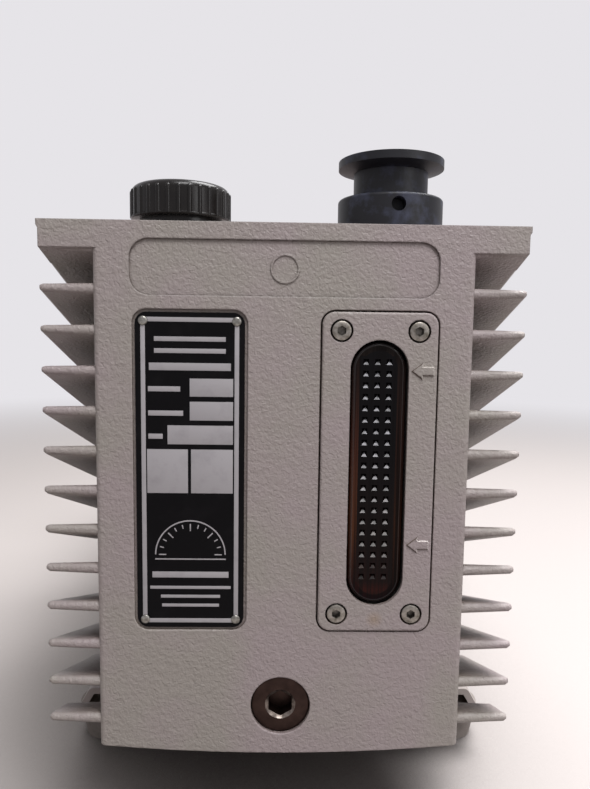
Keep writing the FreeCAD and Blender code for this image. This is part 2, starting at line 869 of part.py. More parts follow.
    # Cut back to the slanted joint, and everything above the top plate away
    reach = half_top + 2
    far = behind * 2
    depth = -far
    peak = casing_top + s.fin_pitch * (s.fins_above_top + 3)
    pocket(body, "YZ", -reach, reach,
           outline((joint_y(depth), depth), (far, depth), (far, peak), (joint_y(peak), peak)))
    pocket(body, "YZ", -reach, reach, box(-10, casing_top, far, peak + 5))
    fin_start = half_casing - s.fin_bite
    for left, right in ((fin_start, reach), (-reach, -fin_start)):
        pocket(body, "YZ", left, right, box(-10, depth, far, s.casing_low))
    flange_front = low_y - flange_step - 1
    for left, right in ((half_casing, reach), (-reach, -half_casing)):
        pocket(body, "YZ", left, right,
               box(-10, s.casing_low - 1, flange_front, s.casing_low + s.fin_floor))
    pocket(body, "joint", 1, 1 - s.joint_flange, *joint_bolt_holes)
    return keep(body)


def make_casing_joint():
    """Gasket on the slanted joint, and the bolts that come through the stand's flange."""
    gasket = new_body("casing_gasket", y=s.casing_deep, z=s.casing_low, leaning=True)
    half_flange = half_casing + s.joint_reach
    half_hole = half_casing - s.casing_wall
    pad(gasket, "XZ", 0, s.gasket_thick,
        box(-half_flange, 0, half_flange, joint_long, 3),
        box(-half_hole, 10, half_hole, joint_long - 10, 8),
        *joint_bolt_holes)
    keep(gasket)
    screws("casing_screws", "XZ", s.gasket_thick + s.joint_flange + 3, -1, joint_bolts,
           s.bolt_radius, s.bolt_head_radius, s.bolt_head_tall, s.joint_flange * 2, s.bolt_hex,
           y=s.casing_deep, z=s.casing_low, leaning=True)


def make_oil_window():
    half_slot = s.slot_tall / 2
    slot_radius = s.slot_wide / 2
    frame_floor = s.frame_thick - s.frame_proud
    glass_floor = frame_floor - s.seal_thick
    lip_front = glass_floor - s.glass_lip_thick
    lip_radius = slot_radius + s.glass_lip
    lip_half = half_slot + s.glass_lip
    fit = s.glass_fit

    # Clamping frame with four counterbored screws, a window and two level arrows
    frame = new_body("sight_glass_frame")
    half_wide = s.frame_wide / 2
    half_tall = s.frame_tall / 2
    pad(frame, "XZ", -s.frame_proud, frame_floor,
        box(s.window_x - half_wide, window_high - half_tall, s.window_x + half_wide,
            window_high + half_tall, s.frame_round))
    round_edges(frame, 0.8, lambda ends: all(near(p.y, -s.frame_proud) for p in ends))
    pocket(frame, "XZ", frame_floor, lip_front - fit,
           upright_slot(s.window_x, window_high - lip_half - fit, window_high + lip_half + fit,
                        lip_radius + fit))
    pocket(frame, "XZ", frame_floor, -s.frame_proud - 1,
           upright_slot(s.window_x, window_high - half_slot, window_high + half_slot, slot_radius))
    pocket(frame, "XZ", -s.frame_proud, frame_floor + 1,
           *[circle(x, z, s.small_screw_radius + s.hole_gap) for x, z in frame_screw_spots])
    pocket(frame, "XZ", -s.frame_proud, -s.frame_proud + s.small_head_tall - 0.3,
           *[circle(x, z, s.small_head_radius + 0.5) for x, z in frame_screw_spots])
    tail_x = s.window_x + half_wide - 1.5
    tip_x = tail_x - s.arrow_long
    neck_x = tip_x + s.arrow_long * 0.45
    for high in (window_high + s.arrow_upper, window_high - s.arrow_lower):
        half = s.arrow_wide / 2
        stem = half * 0.55
        pad(frame, "XZ", -s.frame_proud, -s.frame_proud - s.arrow_high,
            outline((tip_x, high), (neck_x, high + half), (neck_x, high + stem),
                    (tail_x, high + stem), (tail_x, high - stem), (neck_x, high - stem),
                    (neck_x, high - half)))
    keep(frame)

    # Glass with a grid of small pyramids on its oil side
    glass = new_body("sight_glass")
    pad(glass, "XZ", glass_floor, lip_front,
        upright_slot(s.window_x, window_high - lip_half, window_high + lip_half, lip_radius))
    glass_radius = slot_radius - fit
    glass_half = half_slot - fit
    glass_front = s.glass_sunk - s.frame_proud
    pad(glass, "XZ", lip_front + 0.5, glass_front,
        upright_slot(s.window_x, window_high - glass_half, window_high + glass_half, glass_radius))
    half_groove = s.prism_pitch / 2 * 0.92
    half_rows = s.prism_pitch * s.prism_rows / 2
    half_columns = s.prism_pitch * s.prism_columns / 2
    depth_y = glass_floor - s.prism_deep
    low_row = window_high - half_rows
    across = pocket(glass, "YZ", s.window_x - half_columns, s.window_x + half_columns,
                    outline((glass_floor + 0.2, low_row - half_groove),
                            (depth_y, low_row), (glass_floor + 0.2, low_row + half_groove)))
    repeat_line(glass, across, "Z", s.prism_pitch, s.prism_rows + 1)
    left_column = s.window_x - half_columns
    upright = pocket(glass, "XY", window_high - half_rows, window_high + half_rows,
                     outline((left_column - half_groove, glass_floor + 0.2),
                             (left_column + half_groove, glass_floor + 0.2),
                             (left_column, depth_y)))
    repeat_line(glass, upright, "X", s.prism_pitch, s.prism_columns + 1)
    keep(glass)

    seal = new_body("sight_glass_seal")
    pad(seal, "XZ", glass_floor, frame_floor,
        upright_slot(s.window_x, window_high - lip_half, window_high + lip_half, lip_radius),
        upright_slot(s.window_x, window_high - half_slot, window_high + half_slot,
                     slot_radius))
    keep(seal)
    screws("frame_screws", "XZ", -s.frame_proud + s.small_head_tall - 0.3, 1, frame_screw_spots,
           s.small_screw_radius, s.small_head_radius, s.small_head_tall, s.small_screw_long,
           s.small_hex)


def make_nameplate():
    half_wide = s.plate_wide / 2
    half_tall = s.plate_tall / 2
    rivets = corners_of(s.rivet_x, s.rivet_z, -s.plate_x, window_high)
    plate = new_body("nameplate")
    front = s.plate_sunk - s.plate_thick
    pad(plate, "XZ", s.plate_sunk, front,
        box(-s.plate_x - half_wide, window_high - half_tall, -s.plate_x + half_wide,
            window_high + half_tall, s.plate_round),
        *[circle(x, z, s.rivet_pin_radius + s.hole_gap) for x, z in rivets])
    keep(plate)
    pins = new_body("nameplate_rivets")
    pad(pins, "XZ", front, front - s.rivet_head_tall,
        *[circle(x, z, s.rivet_radius) for x, z in rivets])
    pad(pins, "XZ", front, s.plate_sunk, *[circle(x, z, s.rivet_pin_radius) for x, z in rivets])
    keep(pins)


def make_drain_plug():
    seat = s.spot_deep
    ring_front = seat - s.ring_thick
    collar_front = ring_front - s.plug_collar_thick
    plug = new_body("drain_plug", z=plug_high)
    turned(plug, "Revolution", "Y",
           outline((collar_front, 0), (collar_front, s.plug_collar_radius, 0.8),
                   (ring_front, s.plug_collar_radius), (ring_front, s.plug_thread_radius),
                   (seat + s.plug_long, s.plug_thread_radius, 0.8), (seat + s.plug_long, 0)))
    funnel_end = collar_front + s.plug_funnel_deep
    funnel_foot = s.plug_funnel_radius - s.plug_funnel_deep
    turned(plug, "Groove", "Y",
           outline((collar_front - 1, 0), (collar_front - 1, s.plug_funnel_radius),
                   (collar_front, s.plug_funnel_radius), (funnel_end, funnel_foot), (funnel_end, 0)))
    pocket(plug, "XZ", collar_front, collar_front + s.plug_hex_deep,
           hexagon(0, 0, s.plug_hex, s.plug_hex_turn))
    keep(plug)
    ring = new_body("drain_plug_ring", z=plug_high)
    pad(ring, "XZ", ring_front, seat,
        circle(0, 0, s.plug_collar_radius), circle(0, 0, s.plug_thread_radius + s.running_gap))
    keep(ring)


def make_filler_cap():
    cap = new_body("filler_cap", x=-s.cap_x, y=s.cap_y, z=casing_top)
    low = s.ring_thick
    turned(cap, "Revolution", "Z",
           outline((0, -s.cap_stub_long), (s.cap_stub_radius, -s.cap_stub_long, 0.8),
                   (s.cap_stub_radius, low), (s.cap_collar_radius, low),
                   (s.cap_collar_radius, s.cap_skirt_low), (s.cap_radius, s.cap_skirt_low),
                   (s.cap_radius, s.cap_tall, s.cap_dome), (0, s.cap_tall)))
    rib_x = s.cap_radius + s.cap_rib_proud - s.cap_rib_radius
    rib = pad(cap, "XY", s.cap_skirt_low, s.cap_tall - s.cap_dome, circle(rib_x, 0, s.cap_rib_radius))
    repeat_round(cap, rib, "Z", s.cap_rib_count)
    pocket(cap, "XY", s.cap_tall, s.cap_tall - s.cap_groove_deep,
           circle(0, 0, s.cap_groove_radius), circle(0, 0, s.cap_groove_radius - s.cap_groove_wide))
    keep(cap)
    ring = new_body("filler_cap_ring", x=-s.cap_x, y=s.cap_y, z=casing_top)
    pad(ring, "XY", 0, s.ring_thick,
        circle(0, 0, s.cap_stub_radius + s.boss_wall), circle(0, 0, s.cap_stub_radius + s.running_gap))
    keep(ring)


def make_port(label, x, y, z, with_pin_hole):
    """A small flange port: threaded stub, round collar, neck, and a flange with a sloped back."""
    port = new_body(label, x=x, y=y, z=z)
    rim_low = s.port_tall - s.flange_rim
    slope_low = rim_low - s.flange_slope
    turned(port, "Revolution", "Z",
           outline((s.port_bore, -s.stub_long), (s.stub_radius, -s.stub_long, 0.8),
                   (s.stub_radius, 0), (s.collar_radius, 0), (s.collar_radius, s.collar_tall, 1.2),
                   (s.neck_radius, s.collar_tall), (s.neck_radius, slope_low),
                   (s.flange_radius, rim_low), (s.flange_radius, s.port_tall),
                   (s.port_seat_radius, s.port_tall),
                   (s.port_seat_radius, s.port_tall - s.port_seat_deep),
                   (s.port_bore, s.port_tall - s.port_seat_deep)))
    if with_pin_hole:
        pocket(port, "XZ", -s.collar_radius - 1, -s.neck_radius,
               circle(0, s.pin_hole_high, s.pin_hole_radius))
    keep(port)


def make_exhaust_filter():
    """The mist filter cartridge that hangs from the exhaust port inside the casing."""
    body = new_body("exhaust_filter", x=s.port_x, y=s.port_y + 2, z=casing_top)
    top = -s.stub_long
    turned(body, "Revolution", "Z",
           outline((0, top - s.filter_long), (s.filter_radius, top - s.filter_long, 2),
                   (s.filter_radius, top - 2), (s.port_bore, top - 2), (s.port_bore, top),
                   (0, top)))
    groove_low = top - s.filter_long + s.filter_groove_pitch
    groove = turned(body, "Groove", "Z",
                    box(s.filter_radius - s.filter_groove_deep, groove_low, s.filter_radius + 1,
                        groove_low + s.filter_groove_wide))
    repeat_line(body, groove, "Z", s.filter_groove_pitch, s.filter_grooves)
    keep(body)


# Stand: the cast housing between the slanted joint and the lantern, with its foot plate
def make_stand():
    stand = new_body("stand")
    low = s.foot_plate_low
    half = s.stand_wide / 2
    joint = s.gasket_thick / cos(s.lean)
    face_low = joint_y(low) + joint
    face_high = joint_y(stand_top) + joint
    flange_step = (s.joint_flange + 3) / cos(s.lean)
    pad(stand, "YZ", -half, half,
        outline((face_low, low), (s.stand_back, low), (s.stand_back, stand_top),
                (face_high, stand_top)))
    half_flange = half_casing + s.joint_reach
    pad(stand, "YZ", -half_flange, half_flange,
        outline((face_low, low), (face_low + flange_step, low),
                (face_high + flange_step, stand_top), (face_high, stand_top)))
    wide = s.plate_half_wide
    pad(stand, "XZ", s.stand_back, stand_inside,
        box(-wide, low, wide, stand_top, s.stand_corner))
    pad(stand, "XY", low, foot_plate_top,
        box(-wide, s.foot_plate_front, wide, s.stand_back))

    # Ribs that stiffen the foot plate and the side walls
    root_x = half - 2
    toe_x = wide - 4
    for side in (-1, 1):
        for y in (s.stand_rib_first, s.stand_rib_first + s.stand_rib_step):
            pad(stand, "XZ", y, y + s.stand_rib_thick,
                outline((side * root_x, foot_plate_top - 2), (side * root_x, s.stand_rib_top),
                        (side * toe_x, foot_plate_top), (side * toe_x, foot_plate_top - 2)))

    # Hollow, with the inlet duct left standing inside
    inner = half - s.stand_side
    roof = stand_top - s.stand_side
    room_low = foot_plate_top
    pocket(stand, "YZ", -inner, inner,
           outline((joint_y(room_low) - 9, room_low), (stand_inside, room_low),
                   (stand_inside, roof), (joint_y(roof) - 9, roof)))
    pad(stand, "XY", s.duct_low, roof + 1,
        box(-s.duct_half, s.inlet_y - s.duct_half + 4, s.duct_half, stand_inside + 1))
    chamber_low = valve_rest - s.seat_gap
    pocket(stand, "XY", stand_top, stub_end - 1,
           circle(0, s.inlet_y, s.stub_radius + s.hole_gap))
    pocket(stand, "XY", stub_end, chamber_low, circle(0, s.inlet_y, s.valve_bore))
    pocket(stand, "XY", chamber_low, s.duct_low - 1, circle(0, s.inlet_y, s.duct_bore))

    # Shaft and seal bores, bolt holes
    pocket(stand, "XZ", s.stand_back, stand_inside,
           circle(0, s.shaft_high, s.seal_radius + s.hole_gap))
    bolt_hole = s.bolt_radius + s.hole_gap
    pocket(stand, "XZ", s.stand_back, stand_inside, *[circle(x, z, bolt_hole) for x, z in plate_bolts])
    pocket(stand, "XZ", stand_inside, stand_inside + 9,
           *[circle(x, z, bolt_hole) for x, z in module_bolts])
    pocket(stand, "XY", low, foot_plate_top - 3, *[circle(x, y, bolt_hole) for x, y in rail_bolts])
    pocket(stand, "joint", 0, s.gasket_thick + s.joint_flange + 5, *joint_bolt_holes)
    pocket(stand, "YZ", half + 1, inner - 1,
           circle(s.ballast_y, s.ballast_high, s.ballast_radius + s.hole_gap))
    keep(stand)


def make_inlet_parts():
    """A strainer cup in the inlet port, and the valve disc that rises to shut the port from below."""
    strainer = new_body("inlet_strainer", y=s.inlet_y, z=stand_top)
    top = s.port_tall - s.port_seat_deep - s.hole_gap
    low = top - s.strainer_deep
    outer = s.port_bore - s.hole_gap
    inner = outer - s.strainer_wall
    turned(strainer, "Revolution", "Z",
           outline((0, low), (outer, low), (outer, top), (inner, top), (inner, low + s.strainer_wall),
                   (0, low + s.strainer_wall)))
    for row in range(SIZES["strainer_rows"]):
        high = low + s.strainer_hole * 2 + s.strainer_row_step * row
        hole = pocket(strainer, "YZ", outer + 1, 0, circle(0, high, s.strainer_hole))
        repeat_round(strainer, hole, "Z", s.strainer_holes)
    keep(strainer)

    valve = new_body("suckback_valve", y=s.inlet_y, z=valve_rest)
    radius = s.valve_bore - s.running_gap
    stem_top = s.valve_tall + s.valve_stem_tall
    turned(valve, "Revolution", "Z",
           outline((0, 0), (radius - s.valve_bevel, 0), (radius, s.valve_bevel),
                   (radius, s.valve_tall), (s.valve_stem_radius, s.valve_tall),
                   (s.valve_stem_radius, stem_top), (0, stem_top)))
    keep(valve)


def make_gas_ballast():
    wall = s.stand_wide / 2
    bore = s.ballast_bore
    seat = new_body("gas_ballast_valve", x=wall, y=s.ballast_y, z=s.ballast_high)
    pad(seat, "YZ", -s.stand_side, s.ballast_hex_thick,
        circle(0, 0, s.ballast_radius), circle(0, 0, bore))
    pad(seat, "YZ", 0, s.ballast_hex_thick,
        hexagon(0, 0, s.ballast_hex), circle(0, 0, s.ballast_radius - s.hole_gap))
    keep(seat)
    knob = new_body("gas_ballast_knob", x=wall, y=s.ballast_y, z=s.ballast_high)
    start = s.ballast_hex_thick + s.seat_gap
    end = start + s.knob_thick
    half_grip = s.knob_radius - 1
    pad(knob, "YZ", start, end, circle(0, 0, s.knob_radius))
    pad(knob, "YZ", start, 1 - s.stand_side, circle(0, 0, bore - s.running_gap))
    pad(knob, "YZ", end, end + s.knob_grip_tall,
        box(-half_grip, -s.knob_grip_wide / 2, half_grip, s.knob_grip_wide / 2, 2))
    flute = pocket(knob, "YZ", start - 1, end + 1, circle(s.knob_flute_out, 0, s.knob_flute_radius))
    repeat_round(knob, flute, "X", s.knob_flutes)
    keep(knob)


# Pump module: two stages on one shaft, bolted to the inside of the stand's back wall
rear_plate_front = stand_inside - s.end_plate
hv_front = rear_plate_front - s.hv_long
middle_front = hv_front - s.middle_plate
fv_front = middle_front - s.fv_long
front_plate_front = fv_front - s.end_plate


def make_module_ring(label, front, back, hole_y, hole_radius):
    """One slice of the module: a round plate or cylinder with a bore and four tie bolt holes."""
    body = new_body(label, z=s.shaft_high)
    bolt_spots = corners_of(module_bolt_reach, module_bolt_reach)
    flat = s.module_radius - s.module_flat
    pad(body, "XZ", front, back,
        circle(0, 0, s.module_radius), circle(0, hole_y, hole_radius),
        *[circle(x, z, s.bolt_radius + s.hole_gap) for x, z in bolt_spots])
    pocket(body, "XZ", front - 1, back + 1,
           box(-s.module_radius, flat, s.module_radius, s.module_radius + 1))
    return keep(body)


def make_module():
    bush = s.bush_radius + s.hole_gap
    make_module_ring("rear_bearing_plate", rear_plate_front, stand_inside, 0, bush)
    make_module_ring("hv_cylinder", hv_front, rear_plate_front, -s.eccentricity, s.bore_radius)
    make_module_ring("middle_plate", middle_front, hv_front, 0, bush)
    make_module_ring("fv_cylinder", fv_front, middle_front, -s.eccentricity, s.bore_radius)
    make_module_ring("front_bearing_plate", front_plate_front, fv_front, 0, bush)
    tie_long = stand_inside - front_plate_front + 8
    screws("module_screws", "XZ", front_plate_front, 1, module_bolts, s.bolt_radius,
           s.bolt_head_radius, s.bolt_head_tall, tie_long, s.bolt_hex)

    bushes = new_body("bearing_bushes", z=s.shaft_high)
    for front, back in ((rear_plate_front, stand_inside), (middle_front, hv_front),
                        (front_plate_front, fv_front)):
        pad(bushes, "XZ", front, back, circle(0, 0, s.bush_radius),
            circle(0, 0, s.shaft_radius + s.running_gap))
    keep(bushes)

    seals = new_body("shaft_seals", z=s.shaft_high)
    half_wall = s.stand_wall / 2
    for step in range(2):
        start = stand_inside + half_wall * step
        pad(seals, "XZ", start, start + half_wall - 0.3, circle(0, 0, s.seal_radius),
            circle(0, 0, s.shaft_radius + s.running_gap))
    keep(seals)

    # Spring steel leaf over the outlet of the second stage, on the flat of its cylinder
    leaf = new_body("exhaust_valve_leaf", z=s.shaft_high + s.module_radius - s.module_flat)
    half_wide = s.leaf_wide / 2
    centre_y = (fv_front + middle_front) / 2
    pad(leaf, "XY", 0, s.leaf_thick,
        box(-s.leaf_long / 2, centre_y - half_wide, s.leaf_long / 2, centre_y + half_wide, 3))
    pad(leaf, "XY", s.leaf_thick, s.leaf_thick + 2, hexagon(-s.leaf_long / 2 + 5, centre_y, 7))
    keep(leaf)


def make_rotors():
    """A slotted rotor with two vanes in each stage, both rotors on one shaft."""
    hub = s.shaft_radius + s.fit_gap
    gap = s.seat_gap
    half_vane = s.vane_thick / 2
    half_slot = half_vane + s.running_gap
    slot_floor = s.shaft_radius + 3
    slot_mouth = s.rotor_radius + 1
    for label, front, back in (("hv", hv_front, rear_plate_front), ("fv", fv_front, middle_front)):
        rotor = new_body(label + "_rotor", z=s.shaft_high)
        pad(rotor, "XZ", front + gap, back - gap, circle(0, 0, s.rotor_radius), circle(0, 0, hub))
        for low, high in ((slot_floor, slot_mouth), (-slot_mouth, -slot_floor)):
            pocket(rotor, "XZ", front - 1, back + 1, box(low, -half_slot, high, half_slot))
        keep(rotor)
        vanes = new_body(label + "_vanes", z=s.shaft_high)
        root = slot_floor + gap
        for low, high in ((root, s.vane_tip_radius), (-s.vane_tip_radius, -root)):
            pad(vanes, "XZ", front + gap * 2, back - gap * 2, box(low, -half_vane, high, half_vane))
        keep(vanes)
    shaft = new_body("pump_shaft", z=s.shaft_high)
    pad(shaft, "XZ", front_plate_front, hub_pump_end - 2, circle(0, 0, s.shaft_radius))
    keep(shaft)


# Lantern and jaw coupling
hub_pump_start = lantern_start + s.hub_back
hub_pump_end = hub_pump_start + s.hub_long
hub_motor_start = hub_pump_end + s.jaw_long + s.hub_gap
hub_motor_end = hub_motor_start + s.hub_long


def make_lantern():
    body = new_body("lantern")
    wide = s.plate_half_wide
    pad(body, "XZ", lantern_start, lantern_face,
        box(-wide, s.foot_plate_low, wide, stand_top, s.stand_corner))
    pad(body, "XZ", lantern_face, s.lantern_end, circle(0, s.shaft_high, s.lantern_radius))
    rim_front = s.lantern_end - s.lantern_rim
    pad(body, "XZ", rim_front, s.lantern_end, circle(0, s.shaft_high, s.rim_radius))
    half_web = s.lantern_web / 2
    for side in (-1, 1):
        web_x = side * s.lantern_radius
        pad(body, "XZ", lantern_face, rim_front,
            box(web_x - half_web, s.shaft_high - half_web, web_x + half_web, s.shaft_high + half_web))
    pocket(body, "XZ", lantern_start, s.lantern_end, circle(0, s.shaft_high, s.lantern_bore))
    bolt_hole = s.bolt_radius + s.hole_gap
    pocket(body, "XZ", lantern_start, lantern_face,
           *[circle(x, z, bolt_hole) for x, z in plate_bolts])
    pocket(body, "XZ", rim_front, s.lantern_end, *[circle(x, z, bolt_hole) for x, z in rim_bolts])
    keep(body)
    screws("lantern_bolts", "XZ", lantern_face, -1, plate_bolts, s.bolt_radius,
           s.bolt_head_radius, s.bolt_head_tall, s.lantern_plate + s.stand_wall - 1, s.bolt_hex)
    screws("motor_bolts", "XZ", rim_front, 1, rim_bolts, s.bolt_radius, s.bolt_head_radius,
           s.bolt_head_tall, s.lantern_rim + s.shield_thick - 3, s.bolt_hex)


def sector(inner, outer, middle_angle, half_angle):
    """A block between two radii and two angles, with its sides along the radii."""
    def draw(sketch):
        low, high = middle_angle - half_angle, middle_angle + half_angle

        def spot(radius, angle):
            return (radius * cos(angle), radius * sin(angle))

        def vector(pair):
            return FreeCAD.Vector(float(pair[0]), float(pair[1]), 0)

        a, b = spot(inner, low), spot(outer, low)
        c, d = spot(outer, high), spot(inner, high)
        mid_out = vector(spot(outer, middle_angle))
        mid_in = vector(spot(inner, middle_angle))
        side_a = sketch.addGeometry(Part.LineSegment(vector(a), vector(b)))
        rim = sketch.addGeometry(Part.Arc(vector(b), mid_out, vector(c)))
        side_b = sketch.addGeometry(Part.LineSegment(vector(c), vector(d)))
        core = sketch.addGeometry(Part.Arc(vector(a), mid_in, vector(d)))
        joins = [(side_a, 2, rim, 1), (rim, 2, side_b, 1), (side_b, 2, core, 2),
                 (core, 1, side_a, 1)]
        for join in joins:
            sketch.addConstraint(Sketcher.Constraint("Coincident", *join))
        hold_point(sketch, side_a, 1, *a)
        hold_point(sketch, side_a, 2, *b)
        hold_point(sketch, side_b, 1, *c)
        hold_point(sketch, side_b, 2, *d)
        hold(sketch, "Radius", rim, None, outer)
        hold(sketch, "Radius", core, None, inner)
    return draw


def make_coupling():
    """Two hubs with three jaws each, and an elastic star whose six lobes lie between the jaws."""
    bore = s.shaft_radius + s.fit_gap
    inner = s.shaft_radius + 3
    outer = s.hub_radius - 1
    half_step = Size(180) / s.jaw_count
    for label, start, end, root, tip, turn in (
            ("coupling_hub_pump", hub_pump_start, hub_pump_end, hub_pump_end - 1,
             hub_pump_end + s.jaw_long, 0),
            ("coupling_hub_motor", hub_motor_start, hub_motor_end, hub_motor_start + 1,
             hub_motor_start - s.jaw_long, half_step)):
        hub = new_body(label, z=s.shaft_high)
        pad(hub, "XZ", start, end, circle(0, 0, s.hub_radius), circle(0, 0, bore))
        jaw = pad(hub, "XZ", root, tip, sector(inner, outer, turn, s.jaw_half_angle))
        repeat_round(hub, jaw, "Y", s.jaw_count)
        keep(hub)
    spider = new_body("coupling_spider", z=s.shaft_high)
    start = hub_pump_end + s.seat_gap
    end = hub_motor_start - s.seat_gap
    ring = inner - s.seat_gap
    pad(spider, "XZ", start, end, circle(0, 0, ring), circle(0, 0, ring - 2.2))
    lobe = pad(spider, "XZ", start, end,
               sector(inner - 1, outer, half_step / 2, s.spider_half_angle))
    repeat_round(spider, lobe, "Y", s.jaw_count * 2)
    keep(spider)


# Motor
bearing_back = s.lantern_end + s.shield_thick
rear_shield_end = s.frame_end + s.rear_shield_thick
shield_rim = s.cover_radius - s.cover_wall - s.hole_gap
core_end = s.core_start + s.core_long


def make_motor_shields():
    """The two end shields, each with a bearing seat on its inner side."""
    seat = s.bearing_radius + s.fit_gap
    shaft_hole = s.shaft_radius + 3
    seat_start = bearing_back - s.bearing_wide
    front = new_body("motor_front_shield", z=s.shaft_high)
    turned(front, "Revolution", "Y",
           outline((s.lantern_end, shaft_hole), (s.lantern_end, s.shield_radius, 1.5),
                   (bearing_back, s.shield_radius, 1.5), (bearing_back, seat), (seat_start, seat),
                   (seat_start, shaft_hole)))
    pocket(front, "XZ", s.lantern_end, bearing_back - 2,
           *[circle(x, z, s.bolt_radius + s.hole_gap)
             for x, z in corners_of(rim_bolt_reach, rim_bolt_reach)])
    keep(front)

    rear = new_body("motor_rear_shield", z=s.shaft_high)
    plate_end = s.frame_end + s.rear_plate_thick
    turned(rear, "Revolution", "Y",
           outline((s.frame_end, seat), (s.frame_end, shield_rim), (plate_end, shield_rim),
                   (plate_end, s.rear_boss_radius + 2, 3), (rear_shield_end, s.rear_boss_radius, 2),
                   (rear_shield_end, seat)))
    keep(rear)

    bearings = new_body("motor_bearings", z=s.shaft_high)
    for end in (bearing_back, rear_shield_end):
        pad(bearings, "XZ", end - s.bearing_wide, end, circle(0, 0, s.bearing_radius),
            circle(0, 0, s.shaft_radius + s.running_gap))
    keep(bearings)


def make_motor_frame():
    """The ribbed tube, with a flat platform on top for the terminal box."""
    frame = new_body("motor_frame", z=s.shaft_high)
    pad(frame, "XZ", bearing_back, s.frame_end, circle(0, 0, s.tube_radius),
        circle(0, 0, s.tube_bore))
    rib = pad(frame, "XZ", bearing_back + 1, s.frame_end - 1,
              box(s.tube_radius - 1, -s.rib_thick / 2, s.rib_radius, s.rib_thick / 2))
    repeat_round(frame, rib, "Y", s.rib_count)
    platform = s.box_low - s.shaft_high
    half_long = s.box_long / 2 - 4
    half_wide = s.box_wide / 2 - s.box_corner
    pad(frame, "XY", s.tube_radius - 8, platform,
        box(-half_wide, s.box_y - half_long, half_wide, s.box_y + half_long))
    pocket(frame, "XY", platform, 0, circle(0, s.box_y, s.wire_hole_radius))
    pocket(frame, "XZ", bearing_back - 1, s.frame_end + 1, circle(0, 0, s.tube_bore))
    keep(frame)


def make_motor_inside():
    core = new_body("stator_core", z=s.shaft_high)
    pad(core, "XZ", s.core_start, core_end, circle(0, 0, s.tube_bore - s.fit_gap),
        circle(0, 0, s.core_bore))
    keep(core)
    coils = new_body("stator_windings", z=s.shaft_high)
    inner = s.core_bore + 3
    outer = s.tube_bore - 4
    for start, end in ((s.core_start - s.winding_long, s.core_start),
                       (core_end, core_end + s.winding_long)):
        turned(coils, "Revolution", "Y",
               outline((start, inner, 2), (start, outer, 2), (end, outer, 2), (end, inner, 2)))
    keep(coils)

    thick = s.shaft_radius + s.shaft_step
    rotor = new_body("motor_rotor", z=s.shaft_high)
    pad(rotor, "XZ", s.core_start, core_end, circle(0, 0, s.core_bore - s.air_gap),
        circle(0, 0, thick + s.fit_gap))
    keep(rotor)
    shaft = new_body("motor_shaft", z=s.shaft_high)
    shaft_end = s.fan_start + s.fan_long - 4
    turned(shaft, "Revolution", "Y",
           outline((hub_motor_start, 0), (hub_motor_start, s.shaft_radius, 1),
                   (bearing_back + 1, s.shaft_radius), (bearing_back + 1, thick),
                   (s.frame_end, thick), (s.frame_end, s.shaft_radius),
                   (shaft_end, s.shaft_radius, 1), (shaft_end, 0)))
    keep(shaft)


def make_fan_and_cover():
    fan = new_body("motor_fan", z=s.shaft_high)
    start = s.fan_start
    end = start + s.fan_long
    hub_end = end - 4
    bore = s.shaft_radius + s.fit_gap
    disc_radius = s.fan_radius - 4
    dish = 3
    turned(fan, "Revolution", "Y",
           outline((start, bore), (start, s.fan_hub_radius * 2), (start + dish, disc_radius),
                   (start + dish + s.fan_disc_thick, disc_radius),
                   (start + s.fan_disc_thick * 1.5, s.fan_hub_radius),
                   (hub_end, s.fan_hub_radius), (hub_end, bore)))
    half_blade = s.blade_thick / 2
    blade = pad(fan, "XZ", start + s.fan_disc_thick, end,
                box(s.fan_hub_radius - 1, -half_blade, s.fan_radius, half_blade))
    repeat_round(fan, blade, "Y", s.blade_count)
    keep(fan)

    cover = new_body("fan_cover", z=s.shaft_high)
    wall = s.cover_wall
    outer = s.cover_radius
    inner = outer - wall
    end_radius = s.cover_end_radius
    turned(cover, "Revolution", "Y",
           outline((s.cover_start, inner), (s.cover_start, outer), (s.cover_shoulder, outer, 12),
                   (s.cover_end, end_radius, 6), (s.cover_end, 0), (s.cover_end - wall, 0),
                   (s.cover_end - wall, end_radius - 0.6, 4.5),
                   (s.cover_shoulder - 0.6, inner, 10.5)))
    # Rings of curved air slots through the end wall, with a bridge of even width between them
    half_high = s.slot_high / 2
    half_step = Size(180) / s.slots_per_ring
    for ring in range(SIZES["slot_rings"]):
        radius = s.slot_first_radius + s.slot_ring_step * ring
        half_angle = half_step - s.slot_bridge / radius * math.degrees(0.5)
        slot = pocket(cover, "XZ", s.cover_end + 1, s.cover_end - wall - 1,
                      sector(radius - half_high, radius + half_high, half_step, half_angle))
        repeat_round(cover, slot, "Y", s.slots_per_ring)
    keep(cover)


